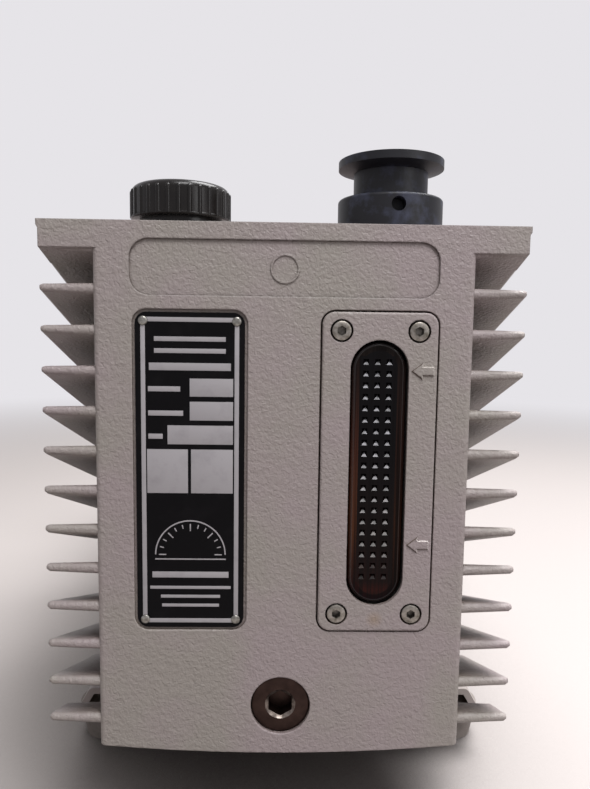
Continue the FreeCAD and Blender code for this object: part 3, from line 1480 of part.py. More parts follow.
def make_terminal_box():
    low = s.box_low
    top = low + s.box_tall
    lid_top = top + s.lid_tall
    half_x = s.box_wide / 2
    half_y = s.box_long / 2
    y0 = s.box_y - half_y
    y1 = s.box_y + half_y
    wall = s.box_wall
    spots = corners_of(half_x - s.box_screw_inset, half_y - s.box_screw_inset, 0, s.box_y)
    gland_high = low + s.box_tall / 2
    screw_hole = s.small_screw_radius + s.hole_gap
    body = new_body("terminal_box")
    pad(body, "XY", low, top, box(-half_x, y0, half_x, y1, s.box_corner))
    pocket(body, "XY", top, low + wall,
           box(-half_x + wall, y0 + wall, half_x - wall, y1 - wall, s.box_corner - wall))
    pocket(body, "XY", low + wall, low, circle(0, s.box_y, s.wire_hole_radius))
    pad(body, "XY", low + 1, top, *[circle(x, y, s.box_boss_radius) for x, y in spots])
    pocket(body, "XY", top, low + wall * 2, *[circle(x, y, screw_hole) for x, y in spots])
    pocket(body, "YZ", half_x + 1, half_x - wall - 2,
           circle(s.box_y, gland_high, s.gland_thread_radius + s.hole_gap))
    keep(body)

    lid = new_body("terminal_box_lid")
    rim = s.box_corner + wall
    pad(lid, "XY", top, lid_top, box(-half_x, y0, half_x, y1, s.box_corner))
    round_edges(lid, 3, lambda ends: all(near(p.z, lid_top) for p in ends))
    pocket(lid, "XY", top, lid_top - wall,
           box(-half_x + rim, y0 + rim, half_x - rim, y1 - rim, s.box_corner - wall))
    pocket(lid, "XY", lid_top, top - 1, *[circle(x, y, screw_hole) for x, y in spots])
    keep(lid)
    screws("lid_screws", "XY", lid_top, -1, spots, s.small_screw_radius, s.small_head_radius,
           s.small_head_tall * 0.6, s.lid_tall + s.box_tall - wall * 3, s.small_hex)

    # Terminal board with two rows of three studs
    board = new_body("terminal_board")
    board_low = low + wall
    board_top = board_low + s.board_thick
    board_front = y0 + s.box_corner + wall + 1
    row_y = board_front + (s.board_long - s.stud_row_step) / 2
    pad(board, "XY", board_low, board_top,
        box(-s.board_half_wide, board_front, s.board_half_wide, board_front + s.board_long))
    pad(board, "XY", board_top - 1, board_top + s.stud_tall,
        *[circle(s.stud_pitch * column, row_y + s.stud_row_step * row, s.stud_radius)
          for column in (-1, 0, 1) for row in (0, 1)])
    keep(board)

    gland = new_body("cable_gland", x=half_x, y=s.box_y, z=gland_high)
    hole = s.cable_hole_radius
    pad(gland, "YZ", 0, s.gland_hex_thick, hexagon(0, 0, s.gland_radius * 2 - 2),
        circle(0, 0, hole))
    pad(gland, "YZ", s.gland_hex_thick, s.gland_long, circle(0, 0, s.gland_radius - 1.5),
        circle(0, 0, hole))
    pad(gland, "YZ", 0, -wall - 3, circle(0, 0, s.gland_thread_radius), circle(0, 0, hole))
    outside = float(hole) + 1
    round_edges(gland, 2.5, lambda ends: all(near(p.x, s.gland_long)
                                             and math.hypot(p.y, p.z) > outside for p in ends))
    keep(gland)


# Base rails with flared sides, and their rubber feet
def make_base():
    top = s.foot_plate_low
    low = s.foot_tall
    thick = s.rail_thick
    drop = top - low
    flare = (s.rail_low_x - s.rail_top_x) / drop
    across = thick * hypotenuse(1, flare)
    for label, side in (("base_rail_left", -1), ("base_rail_right", 1)):
        rail = new_body(label)
        pad(rail, "XZ", s.rail_front, s.rail_back,
            outline((side * s.rail_inner_x, top), (side * s.rail_top_x, top, 3),
                    (side * s.rail_low_x, low, 3), (side * s.rail_lip_x, low),
                    (side * s.rail_lip_x, low + thick),
                    (side * (s.rail_low_x - flare * thick - across), low + thick),
                    (side * (s.rail_top_x + flare * thick - across), top - thick),
                    (side * s.rail_inner_x, top - thick)))
        holes = [(x, y) for x, y in rail_bolts if float(x) * side > 0]
        pocket(rail, "XY", top + 1, top - thick - 1,
               *[circle(x, y, s.bolt_radius + s.hole_gap) for x, y in holes])
        keep(rail)
    screws("base_bolts", "XY", top - thick, 1, rail_bolts, s.bolt_radius, s.bolt_head_radius,
           s.bolt_head_tall - 3, s.foot_plate_thick - 2, s.bolt_hex)
    feet = new_body("rubber_feet")
    spots = [(side * s.foot_x, y) for side in (-1, 1)
             for y in (s.rail_front + s.foot_inset, s.rail_back - s.foot_inset)]
    extrude(feet, "Pad", "XY", 0, low, [circle(x, y, s.foot_radius) for x, y in spots],
            taper=s.foot_taper)
    keep(feet)


make_oil_casing()
make_casing_joint()
make_oil_window()
make_nameplate()
make_drain_plug()
make_filler_cap()
make_port("exhaust_port", s.port_x, s.port_y, casing_top, True)
make_exhaust_filter()
make_stand()
make_port("inlet_port", 0, s.inlet_y, stand_top, False)
make_inlet_parts()
make_gas_ballast()
make_module()
make_rotors()
make_lantern()
make_coupling()
make_motor_shields()
make_motor_frame()
make_motor_inside()
make_fan_and_cover()
make_terminal_box()
make_base()

doc.recompute()
faults = [item.Name for item in doc.Objects if {"Invalid", "Error"} & set(item.State)]
if faults:
    raise RuntimeError("features that failed: " + ", ".join(faults))
os.makedirs("parts", exist_ok=True)
for piece in pieces:
    if piece.Shape.isNull() or not piece.Shape.isValid() or not piece.Shape.Solids:
        raise RuntimeError("bad shape: " + piece.Label)
for piece in pieces:
    piece.Shape.exportStep(f"parts/{piece.Label}.step")
print(len(pieces), "pieces written")
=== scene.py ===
# %% [markdown]
# Rotary vane vacuum pump, seen from the front of its oil casing.
#
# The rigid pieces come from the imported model, in metres, with X across the pump, Y from the oil window
# back to the motor and Z up from the floor. This lesson gives them their finishes, and models the pieces
# whose look needs more than the solid: the print on the plate, the heads of the rivets and screws, the
# drain plug, the ribbed cap, the sloped sides of two arrows and the prismatic lens.

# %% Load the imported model
import json
import math

import bpy
from mathutils import Matrix, Vector

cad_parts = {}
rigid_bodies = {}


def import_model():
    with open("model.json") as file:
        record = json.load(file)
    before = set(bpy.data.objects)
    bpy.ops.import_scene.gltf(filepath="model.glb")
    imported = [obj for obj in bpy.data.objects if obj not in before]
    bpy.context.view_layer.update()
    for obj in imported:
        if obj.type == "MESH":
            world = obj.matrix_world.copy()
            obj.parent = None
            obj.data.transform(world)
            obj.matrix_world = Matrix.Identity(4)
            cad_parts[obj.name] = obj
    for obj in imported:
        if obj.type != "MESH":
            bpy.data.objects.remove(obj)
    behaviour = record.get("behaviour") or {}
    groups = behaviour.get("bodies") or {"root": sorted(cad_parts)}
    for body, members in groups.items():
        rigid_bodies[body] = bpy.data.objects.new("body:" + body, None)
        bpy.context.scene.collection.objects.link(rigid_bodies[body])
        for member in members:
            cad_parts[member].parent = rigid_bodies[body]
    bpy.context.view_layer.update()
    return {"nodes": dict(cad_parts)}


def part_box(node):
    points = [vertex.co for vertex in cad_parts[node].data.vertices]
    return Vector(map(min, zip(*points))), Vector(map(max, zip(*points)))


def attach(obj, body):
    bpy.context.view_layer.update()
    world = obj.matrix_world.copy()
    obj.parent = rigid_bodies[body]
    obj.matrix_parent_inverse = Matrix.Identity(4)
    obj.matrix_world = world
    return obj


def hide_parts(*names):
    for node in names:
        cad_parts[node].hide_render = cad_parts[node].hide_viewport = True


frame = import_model()
nodes = frame["nodes"]
MM = 0.001

# %% [markdown]
# The camera stands close in front of the oil casing, not far below its top edge, and looks slightly down.
# Because it is so near, lines that run back draw together strongly. Its place is measured from the front
# face and from the casing's top edge, so it follows those two.

# %% Camera
face_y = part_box("oil_casing")[0].y
casing_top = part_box("oil_casing")[1].z
CAMERA_X = -0.64 * MM
CAMERA_BACK = 222.5 * MM
CAMERA_BELOW_TOP = 36.7 * MM
CAMERA_YAW = math.radians(-1.17)
CAMERA_PITCH = math.radians(5.68)
CAMERA_ROLL = math.radians(0.78)
FOCAL_PIXELS = 640.0
IMAGE_TALL = 789
SENSOR = 36.0

forward = Vector((-math.sin(CAMERA_YAW) * math.cos(CAMERA_PITCH),
                  math.cos(CAMERA_YAW) * math.cos(CAMERA_PITCH),
                  -math.sin(CAMERA_PITCH)))
level_right = Vector((math.cos(CAMERA_YAW), math.sin(CAMERA_YAW), 0))
level_up = level_right.cross(forward)
right = level_right * math.cos(CAMERA_ROLL) + level_up * math.sin(CAMERA_ROLL)
up = level_up * math.cos(CAMERA_ROLL) - level_right * math.sin(CAMERA_ROLL)

camera_data = bpy.data.cameras.new("camera")
camera_data.sensor_width = SENSOR
camera_data.lens = SENSOR * FOCAL_PIXELS / IMAGE_TALL
camera_data.clip_start = 0.01
camera = bpy.data.objects.new("camera", camera_data)
bpy.context.collection.objects.link(camera)
turn = Matrix((right, up, -forward)).transposed().to_4x4()
camera_place = Vector((CAMERA_X, face_y - CAMERA_BACK, casing_top - CAMERA_BELOW_TOP))
camera.matrix_world = Matrix.Translation(camera_place) @ turn
bpy.context.scene.camera = camera
print("camera at", [round(value, 4) for value in camera_place], "lens", round(camera_data.lens, 2))

# %% [markdown]
# Colours are written as the hex codes that a picture editor shows. Blender counts in linear light, so
# one function turns a code into linear numbers. A second small function adds a shader node with its
# settings and its links, because every finish below is made of such nodes. The functions after it stand
# for what comes back in many finishes: a noise, a change of range, a mix of two colours, the darkening
# of hollows, which is painted shade and on the enamel also grime, and a relief.

# %% Colour and node helpers
def linear(code):
    """Turns an sRGB hex code into linear red, green, blue and alpha."""
    channels = [int(code[i:i + 2], 16) / 255 for i in (0, 2, 4)]
    curve = [c / 12.92 if c <= 0.04045 else ((c + 0.055) / 1.055) ** 2.4 for c in channels]
    return (*curve, 1.0)


def add(tree, kind, inputs=None, **settings):
    """Adds a node, sets its properties, and fills or links its inputs by name or number."""
    node = tree.nodes.new(kind)
    for key, value in settings.items():
        setattr(node, key, value)
    for key, value in (inputs or {}).items():
        if isinstance(value, bpy.types.NodeSocket):
            tree.links.new(value, node.inputs[key])
        else:
            node.inputs[key].default_value = value
    return node


def new_finish(name, colour, roughness, **shader_values):
    """A material whose shader has one colour and roughness to start from."""
    material = bpy.data.materials.new(name)
    material.use_nodes = True
    shader = material.node_tree.nodes["Principled BSDF"]
    shader.inputs["Base Color"].default_value = linear(colour)
    shader.inputs["Roughness"].default_value = roughness
    for key, value in shader_values.items():
        shader.inputs[key.replace("_", " ")].default_value = value
    place = add(material.node_tree, "ShaderNodeTexCoord").outputs["Object"]
    return material, material.node_tree, shader, place


def link(tree, source, node, name):
    """Links a node's output to a named input of another node."""
    tree.links.new(source, node.inputs[name])


print("grey-beige as linear light:", [round(value, 3) for value in linear("8F8480")])

# %% Patterns, mixes and dirt
def noise(tree, place, scale, detail, **others):
    """A soft random pattern with so many lumps to the metre."""
    return add(tree, "ShaderNodeTexNoise", {"Vector": place, "Scale": scale, "Detail": detail,
                                            **others}).outputs["Fac"]


def spread(tree, value, low=0.0, high=1.0, to_low=0.0, to_high=1.0, **settings):
    """Draws a range of values out to another range and holds it at both ends."""
    return add(tree, "ShaderNodeMapRange", {"Value": value, "From Min": low, "From Max": high,
                                            "To Min": to_low, "To Max": to_high},
               **settings).outputs["Result"]


def blend(tree, share, first, second):
    """Mixes two colours, each given as a hex code or as a link."""
    first, second = (linear(one) if isinstance(one, str) else one for one in (first, second))
    return add(tree, "ShaderNodeMix", {"Factor": share, "A": first, "B": second},
               data_type="RGBA").outputs["Result"]


def hollow_dirt_and_painted_shade(tree, reach_mm, low, high, share):
    """The share of darkening at each point, painted shade and grime: the given one deep in a corner or
    socket, none in the open.
    """
    corner = add(tree, "ShaderNodeAmbientOcclusion", {"Distance": reach_mm * MM}, samples=4)
    return spread(tree, corner.outputs["AO"], low, high, share, 0.0)


def relief(tree, shader, height, high_mm, strength=0.5, **others):
    """Tilts the surface as a pattern of hills of so many millimetres would."""
    bump = add(tree, "ShaderNodeBump", {"Height": height, "Strength": strength,
                                        "Distance": high_mm * MM, **others})
    link(tree, bump.outputs["Normal"], shader, "Normal")


print("pattern helpers ready")

# %% [markdown]
# The castings wear a thick textured enamel, sprayed on in coarse drops that half melt together. That
# leaves rounded pebbles and short worm-like ridges about a millimetre apart, which show best where light
# grazes them. Two noises drive the bump, one for the pebbles and a wider one for the waves in the
# casting under the paint. Paint also rounds every edge that it covers, and a bevel node shades the edges
# that way. A large soft noise shifts the colour between a pinkish and a greenish grey, as the paint does
# where it has aged unevenly. An ambient occlusion node darkens corners towards a brown grey, which is
# some grime and in part painted shade, and a drop of oil has left a small brown stain below the window.

# %% Enamel finishes
lens_low, lens_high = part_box("sight_glass")
frame_low, frame_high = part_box("sight_glass_frame")
spill = Vector(((lens_low.x + lens_high.x) / 2 + 0.3 * MM, frame_low.y, lens_low.z - 2.5 * MM))
PINK_GREY = "968A8B"
GREEN_GREY = "928B86"
# Brown grey for the corners: grime and painted shade.
GRIME_AND_PAINTED_SHADE = "48362A"
PAINTED_HIGHLIGHT_TONES = ("DAD2CF", "D2CBC5")
STAIN = "8A7150"


def enamel(name, pebble_mm, pebble_high_mm, edge_mm, grime_and_shade_reach_mm, tones=(PINK_GREY, GREEN_GREY)):
    """Sprayed enamel with pebbles of a given width and height, soft edges, and corners darkened by grime
    and painted shade.
    """
    material, tree, shader, place = new_finish(name, PINK_GREY, 0.5)
    aged = spread(tree, noise(tree, place, 32.0, 3.0), 0.36, 0.64)
    from_spill = add(tree, "ShaderNodeVectorMath", {0: place, 1: spill}, operation="DISTANCE")
    brown = spread(tree, from_spill.outputs["Value"], 0.5 * MM, 3.5 * MM, 0.45, 0.0)
    stained = blend(tree, brown, blend(tree, aged, *tones), STAIN)
    # Ambient occlusion darkens the corners towards the brown grey: some grime, and in part painted shade.
    dirt_and_painted_shade = hollow_dirt_and_painted_shade(tree, grime_and_shade_reach_mm, 0.2, 0.75, 0.85)
    link(tree, blend(tree, dirt_and_painted_shade, stained, GRIME_AND_PAINTED_SHADE), shader, "Base Color")
    pebbles = noise(tree, place, 1 / (pebble_mm * MM), 1.2, Distortion=0.5)
    waves = noise(tree, place, 0.28 / (pebble_mm * MM), 1.0)
    height = add(tree, "ShaderNodeMath", {0: waves, 1: 0.4, 2: pebbles}, operation="MULTIPLY_ADD")
    rounded = add(tree, "ShaderNodeBevel", {"Radius": edge_mm * MM}, samples=4)
    relief(tree, shader, height.outputs["Value"], pebble_high_mm, 1.0, Normal=rounded.outputs["Normal"])
    link(tree, spread(tree, pebbles, to_low=0.4, to_high=0.6), shader, "Roughness")
    return material


casting_enamel = enamel("textured_enamel_on_casting", 1.2, 0.38, 0.6, 13)
motor_enamel = enamel("textured_enamel_on_motor", 1.3, 0.22, 0.4, 8)
sheet_enamel = enamel("smooth_enamel_on_sheet_steel", 0.9, 0.06, 0.3, 6)
# Pale and dark copies of the enamel for the arrows' sides: painted highlight and painted shade.
painted_highlight_enamel = enamel("painted_highlight_on_raised_marks", 1.2, 0.1, 0.3, 2, PAINTED_HIGHLIGHT_TONES)
painted_shade_enamel = enamel("painted_shade_below_raised_marks", 1.2, 0.1, 0.3, 2, ("5E534D", "665B55"))
print("enamels:", casting_enamel.name, motor_enamel.name, sheet_enamel.name)

# %% [markdown]
# Metals come next. Zinc-plated screws are bright but dulled by handling, so their roughness varies in
# soft patches. Burnished steel is nearly black-brown with a low sheen. Machined cast iron and aluminium
# show fine marks, which a noise gives that is squeezed upwards into level lines.

# %% Metal finishes
# Near-black for painted shade in sockets and corners.
SOCKET_PAINTED_SHADE = "0E0B0A"


def metal(name, colour, stain, roughness, patch_mm, scratch_high_mm, painted_shade_reach_mm=0):
    """A metal with soft stains. Where a reach is given, its sockets and corners are darkened as painted
    shade.
    """
    material, tree, shader, place = new_finish(name, colour, roughness, Metallic=1.0)
    patches = noise(tree, place, 1 / (patch_mm * MM), 4.0)
    tint = blend(tree, spread(tree, patches, 0.35, 0.7), colour, stain)
    if painted_shade_reach_mm:
        # Sockets and corners are darkened here: painted shade.
        tint = blend(tree, hollow_dirt_and_painted_shade(tree, painted_shade_reach_mm, 0.15, 0.65, 0.9), tint, SOCKET_PAINTED_SHADE)
    link(tree, tint, shader, "Base Color")
    rough = spread(tree, patches, to_low=roughness - 0.1, to_high=roughness + 0.15)
    link(tree, rough, shader, "Roughness")
    level = add(tree, "ShaderNodeMapping", {"Vector": place, "Scale": (1.0, 1.0, 14.0)})
    relief(tree, shader, noise(tree, level.outputs["Vector"], 900.0, 3.0), scratch_high_mm)
    return material


zinc_steel = metal("zinc_plated_steel", "A9A7A2", "6E6A62", 0.38, 3.0, 0.02)
stainless_steel = metal("stainless_steel", "B9B7B4", "8E8B86", 0.32, 4.0, 0.015)
worn_zinc = metal("handled_zinc_plate", "918C86", "605B53", 0.36, 1.6, 0.03, 2.5)
rivet_metal = metal("rivet_aluminium", "8F8D88", "625F5A", 0.3, 1.2, 0.02)
burnished_steel = metal("burnished_steel", "3C2F2B", "2B211E", 0.46, 6.0, 0.02, 5.0)
key_worn_steel = metal("key_worn_steel", "7A716B", "4A413C", 0.34, 1.5, 0.02)
machined_iron = metal("machined_cast_iron", "6A6966", "4C4A46", 0.45, 5.0, 0.03)
turned_aluminium = metal("turned_aluminium", "B4B4B2", "8F8E8A", 0.34, 8.0, 0.02)
sintered_bronze = metal("sintered_bronze", "A88554", "6F5632", 0.5, 2.0, 0.03)
copper_winding = metal("enamelled_copper_winding", "A2562B", "6E3516", 0.35, 1.5, 0.05)
electrical_steel = metal("stacked_electrical_steel", "6B6C70", "4D4E52", 0.45, 2.0, 0.04)
print("metals ready")

# %% [markdown]
# Plastics, rubbers and fibres have no metal in them. Each has one plain colour, and what tells them apart
# is how glossy they are and how much dust lies on them. The cap is a hard moulding with a high gloss, the
# exhaust port a duller one with greyish smears, and the rubbers are matt.

# %% Plastic, rubber and fibre finishes
def moulding(name, colour, dust, roughness, dust_share, patch_mm, grain_high_mm, shine=0.5):
    """A plain colour with patches of dust and a fine grain."""
    material, tree, shader, place = new_finish(name, colour, roughness, Specular_IOR_Level=shine)
    patches = noise(tree, place, 1 / (patch_mm * MM), 5.0, Roughness=0.6)
    dusty = spread(tree, patches, 0.5, 0.75, to_high=dust_share)
    link(tree, blend(tree, dusty, colour, dust), shader, "Base Color")
    rough = spread(tree, patches, to_low=roughness - 0.05, to_high=roughness + 0.15)
    link(tree, rough, shader, "Roughness")
    relief(tree, shader, noise(tree, place, 1400.0, 2.0), grain_high_mm)
    return material


glossy_black = moulding("glossy_black_moulding", "120F0E", "2C2826", 0.2, 0.3, 7.0, 0.01, 0.22)
dull_black = moulding("dull_black_moulding", "17171C", "484C60", 0.4, 0.85, 12.0, 0.015, 0.25)
black_rubber = moulding("black_rubber", "1D1C1B", "4B4743", 0.75, 0.3, 5.0, 0.03)
grey_rubber = moulding("grey_rubber", "8A827E", "6E6763", 0.75, 0.5, 5.0, 0.03)
gasket_sheet = moulding("gasket_sheet", "2A2724", "544E47", 0.8, 0.3, 3.0, 0.03)
red_elastomer = moulding("red_elastomer", "8E1F14", "5A201A", 0.55, 0.4, 5.0, 0.02)
vane_laminate = moulding("vane_laminate", "4B3A24", "6B5638", 0.5, 0.5, 2.0, 0.03)
filter_fibre = moulding("filter_fibre", "C9C4B4", "8E8570", 0.9, 0.5, 2.0, 0.15)
board_moulding = moulding("board_moulding", "C7BBA0", "8C7F66", 0.35, 0.3, 4.0, 0.01)
print("mouldings ready")

# %% [markdown]
# The plate is a sheet of aluminium with a satin black print. The print leaves the line round it, the
# boxes and the marks bare, so these are pale and a little shinier. The lens is amber plastic that oil
# has darkened: looked into, it is nearly black, and only its rim and its lower end are red-brown. Its
# colour therefore goes by the height in the lens, and the oil has left upright streaks in it. Its left
# side is painted lighter than its right, which is painted light. The facets of its pits that face up
# are painted pale grey as a painted highlight, and dark ones where they lie in the oil.

# %% Plate and lens finishes
plate_black = moulding("plate_black_print", "09080A", "1C1A1C", 0.4, 0.35, 9.0, 0.008, 0.07)
plate_bare = moulding("plate_bare_aluminium", "A09CA0", "878387", 0.38, 0.5, 6.0, 0.01, 0.5)


def amber(name, left_stops, right_stops, roughness, shine, dark_share, per_metre):
    """Amber whose colour runs up the lens, from stops in millimetres above its lower end."""
    material, tree, shader, place = new_finish(name, left_stops[0][1], roughness,
                                               Specular_IOR_Level=shine)
    parts = add(tree, "ShaderNodeSeparateXYZ", {"Vector": place})
    rise = spread(tree, parts.outputs["Z"], lens_low.z, lens_high.z)
    sides = []
    for stops in (left_stops, right_stops):
        ramp = add(tree, "ShaderNodeValToRGB", {"Fac": rise})
        while len(ramp.color_ramp.elements) < len(stops):
            ramp.color_ramp.elements.new(0.5)
        for element, (height, colour) in zip(ramp.color_ramp.elements, stops):
            element.position = height * MM / (lens_high.z - lens_low.z)
            element.color = linear(colour)
        sides.append(ramp.outputs["Color"])
    # The colour goes from the left ramp to the right one across the lens; the lighter left side is
    # painted light.
    across = spread(tree, parts.outputs["X"], lens_low.x, lens_high.x)
    marks = add(tree, "ShaderNodeMapping", {"Vector": place, "Scale": per_metre})
    dark = spread(tree, noise(tree, marks.outputs["Vector"], 1.0, 2.0), 0.38, 0.62, to_high=dark_share)
    link(tree, blend(tree, dark, blend(tree, across, *sides), "080505"), shader, "Base Color")
    return material


# The left stops are lighter than the right ones: painted light on the lens's left side.
FIELD_LEFT = ((4, "0E0605"), (8, "34100C"), (11, "1E0B09"), (26, "160C0B"), (60, "0D0B0D"))
FIELD_RIGHT = ((4, "080504"), (8, "280D0A"), (11, "140908"), (26, "110A09"), (60, "0A090B"))
RIM_LEFT = ((4, "16060A"), (10, "240A0A"), (30, "4A2A1A"), (60, "42241B"), (80, "2C1B17"),
            (95, "171211"))
RIM_RIGHT = ((4, "080404"), (10, "0E0706"), (30, "24150F"), (60, "281A16"), (95, "1A1514"))
# Colours for the facets that face up: a painted highlight, dark where oil stands.
FACET_PAINTED_HIGHLIGHT = ((4, "160C0A"), (12, "1E1311"), (18, "3E322E"), (26, "5E5652"), (60, "78767D"),
         (95, "7A7A82"))
STREAKS = (1500.0, 1500.0, 18.0)
SPOTS = (420.0, 420.0, 420.0)
lens_amber = amber("amber_lens", FIELD_LEFT, FIELD_RIGHT, 0.14, 0.08, 0.7, STREAKS)
lens_border = amber("amber_lens_border", RIM_LEFT, RIM_RIGHT, 0.16, 0.06, 0.85, STREAKS)
lens_edge = amber("amber_lens_edge", RIM_LEFT, RIM_RIGHT, 0.14, 0.4, 0.5, STREAKS)
facet_painted_highlight = amber("amber_lens_painted_highlight", FACET_PAINTED_HIGHLIGHT, FACET_PAINTED_HIGHLIGHT, 0.35, 0.3, 0.8, SPOTS)
facet_painted_highlight_low = amber("amber_lens_painted_highlight_in_oil", FACET_PAINTED_HIGHLIGHT, FACET_PAINTED_HIGHLIGHT, 0.4, 0.08, 0.9, SPOTS)
print("lens from", round(lens_low.z, 4), "to", round(lens_high.z, 4))

# %% [markdown]
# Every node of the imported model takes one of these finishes. The table names the nodes of each finish,
# so a missing or misspelt node stops the script here and not in the render.

# %% Finish every node
FINISHES = {
    casting_enamel: "oil_casing stand lantern sight_glass_frame",
    motor_enamel: "motor_frame motor_front_shield motor_rear_shield terminal_box terminal_box_lid",
    sheet_enamel: "fan_cover base_rail_left base_rail_right",
    zinc_steel: "base_bolts casing_screws lantern_bolts motor_bolts lid_screws inlet_strainer "
                "gas_ballast_valve",
    worn_zinc: "frame_screws",
    rivet_metal: "nameplate_rivets",
    stainless_steel: "pump_shaft motor_shaft",
    burnished_steel: "drain_plug module_screws exhaust_valve_leaf hv_rotor fv_rotor motor_bearings",
    machined_iron: "front_bearing_plate middle_plate rear_bearing_plate hv_cylinder fv_cylinder "
                   "coupling_hub_pump coupling_hub_motor",
    turned_aluminium: "inlet_port suckback_valve",
    sintered_bronze: "bearing_bushes",
    copper_winding: "stator_windings",
    electrical_steel: "stator_core motor_rotor",
    glossy_black: "filler_cap gas_ballast_knob motor_fan cable_gland",
    dull_black: "exhaust_port",
    grey_rubber: "rubber_feet",
    black_rubber: "filler_cap_ring drain_plug_ring sight_glass_seal shaft_seals",
    gasket_sheet: "casing_gasket",
    red_elastomer: "coupling_spider",
    vane_laminate: "hv_vanes fv_vanes",
    filter_fibre: "exhaust_filter",
    board_moulding: "terminal_board",
    plate_black: "nameplate",
    lens_amber: "sight_glass",
}
unfinished = set(nodes)
for material, names in FINISHES.items():
    for name in names.split():
        nodes[name].data.materials.clear()
        nodes[name].data.materials.append(material)
        unfinished.remove(name)
assert not unfinished, unfinished
print(len(nodes), "nodes finished with", len(FINISHES), "finishes")

# %% [markdown]
# New pieces are modelled as by hand. A primitive is added at its place, then shaped in edit mode. A few
# helpers keep this short. One opens a fresh primitive for editing, one selects faces, edges or points by
# a test, one pushes the selection out, one joins shapes, and one closes the piece, gives it its finish
# and lets it ride on a body.

# %% Opening, picking and pushing
def deselect():
    """Leaves no object selected."""
    bpy.ops.object.select_all(action="DESELECT")


def open_piece(name):
    """Names the primitive that was just added and goes into edit mode on it."""
    piece = bpy.context.object
    piece.name = name
    bpy.ops.object.transform_apply(location=True, rotation=True, scale=True)
    bpy.ops.object.mode_set(mode="EDIT")
    return piece


def pick(piece, wanted, kind="FACE"):
    """Selects the faces, edges or points of an open piece that pass a test, and only those."""
    bpy.ops.mesh.select_mode(type=kind)
    bpy.ops.mesh.select_all(action="DESELECT")
    bpy.ops.object.mode_set(mode="OBJECT")
    parts = {"FACE": piece.data.polygons, "EDGE": piece.data.edges, "VERT": piece.data.vertices}[kind]
    for part in parts:
        part.select = bool(wanted(part))
    bpy.ops.object.mode_set(mode="EDIT")


def push(x=0.0, y=0.0, z=0.0):
    """Pushes the selected faces out by a distance, with new walls behind them."""
    bpy.ops.mesh.extrude_region_move(TRANSFORM_OT_translate={"value": (x, y, z)})


print("opening, picking and pushing ready")

# %% Closing and joining
def close_piece(piece, material, body, slot, *replaced, smooth_degrees=35):
    """Leaves edit mode, smooths, merges doubles, and hands the piece over to a body."""
    if bpy.context.object.mode == "EDIT":
        bpy.ops.mesh.select_all(action="SELECT")
        bpy.ops.mesh.remove_doubles(threshold=0.004 * MM)
        bpy.ops.mesh.normals_make_consistent(inside=False)
        bpy.ops.object.mode_set(mode="OBJECT")
    for modifier in list(piece.modifiers):
        bpy.ops.object.modifier_apply(modifier=modifier.name)
    bpy.ops.object.shade_smooth_by_angle(angle=math.radians(smooth_degrees))
    if material:
        piece.data.materials.clear()
        piece.data.materials.append(material)
    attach(piece, body)
    if replaced:
        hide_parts(*replaced)
    deselect()
    return piece


def join(shapes):
    """Joins finished shapes into the first of them."""
    deselect()
    for one in shapes:
        one.select_set(True)
    bpy.context.view_layer.objects.active = shapes[0]
    bpy.ops.object.join()
    return shapes[0]


deselect()
print("closing and joining ready")

# %% [markdown]
# The light areas of the plate are where the print stops: a line all round, boxes for what an owner
# would fill in, and marks. They are modelled as a film a twentieth of a millimetre high, so that they
# catch the light as real bare metal does. Each starts as a flat plane, is pushed forward, and is inset
# by a hair so that its edge is softened. No words are drawn. Plain bars stand where lines of print would
# be, and under the boxes stands a plain half-round scale with ticks.

# %% A film of bare metal
plate_low, plate_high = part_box("nameplate")
plate_middle = (plate_low + plate_high) / 2
FILM = 0.05 * MM
film_foot = plate_low.y + 0.002 * MM


def raise_film():
    """Pushes the flat area that is open in edit mode forward, with a softened edge."""
    bpy.ops.mesh.select_all(action="SELECT")
    push(y=-FILM * 0.6)
    bpy.ops.mesh.inset(thickness=0.06 * MM, depth=0)
    bpy.ops.transform.translate(value=(0, -FILM * 0.4, 0))
    bpy.ops.object.mode_set(mode="OBJECT")


def film(left, low, right, high, turn=0.0):
    """A raised area between two corners, in millimetres from the middle of the plate."""
    centre = (plate_middle.x + (left + right) / 2 * MM, film_foot,
              plate_middle.z + (low + high) / 2 * MM)
    deselect()
    bpy.ops.mesh.primitive_plane_add(size=1, location=centre, rotation=(math.pi / 2, turn, 0))
    bpy.context.object.scale = ((right - left) * MM, (high - low) * MM, 1)
    piece = open_piece("film")
    raise_film()
    return piece


print("plate", [round(value * 1000, 1) for value in plate_high - plate_low], "mm")

# %% Line, boxes and bars on the plate
HALF_WIDE = 17.05
HALF_TALL = 54.75
LINE = 1.55
strips = [(-HALF_WIDE, HALF_TALL - LINE, HALF_WIDE, HALF_TALL),
          (-HALF_WIDE, -HALF_TALL, HALF_WIDE, LINE - HALF_TALL),
          (-HALF_WIDE, LINE - HALF_TALL, LINE - HALF_WIDE, HALF_TALL - LINE),
          (HALF_WIDE - LINE, LINE - HALF_TALL, HALF_WIDE, HALF_TALL - LINE)]
boxes = [(-0.1, 27.3, 15.0, 33.6), (-0.1, 18.9, 15.0, 25.5), (-7.9, 10.4, 15.0, 17.1),
         (-15.1, -7.1, -0.8, 8.6), (0.3, -7.1, 15.0, 8.6)]
bars = [(-12.4, 46.5, 12.4, 48.1), (-12.4, 42.4, 12.4, 44.0), (-14.2, 36.4, 14.2, 39.0),
        (-14.6, 29.0, -3.4, 30.8), (-14.6, 20.5, -2.4, 22.3), (-14.6, 12.3, -9.6, 14.1),
        (-13.6, -38.0, 13.6, -35.8), (-14.4, -42.2, 14.4, -41.1), (-10.6, -45.5, 10.6, -44.4),
        (-10.2, -48.8, 10.2, -47.7)]
printed = [film(*corners) for corners in strips + boxes + bars]
print(len(printed), "printed areas")

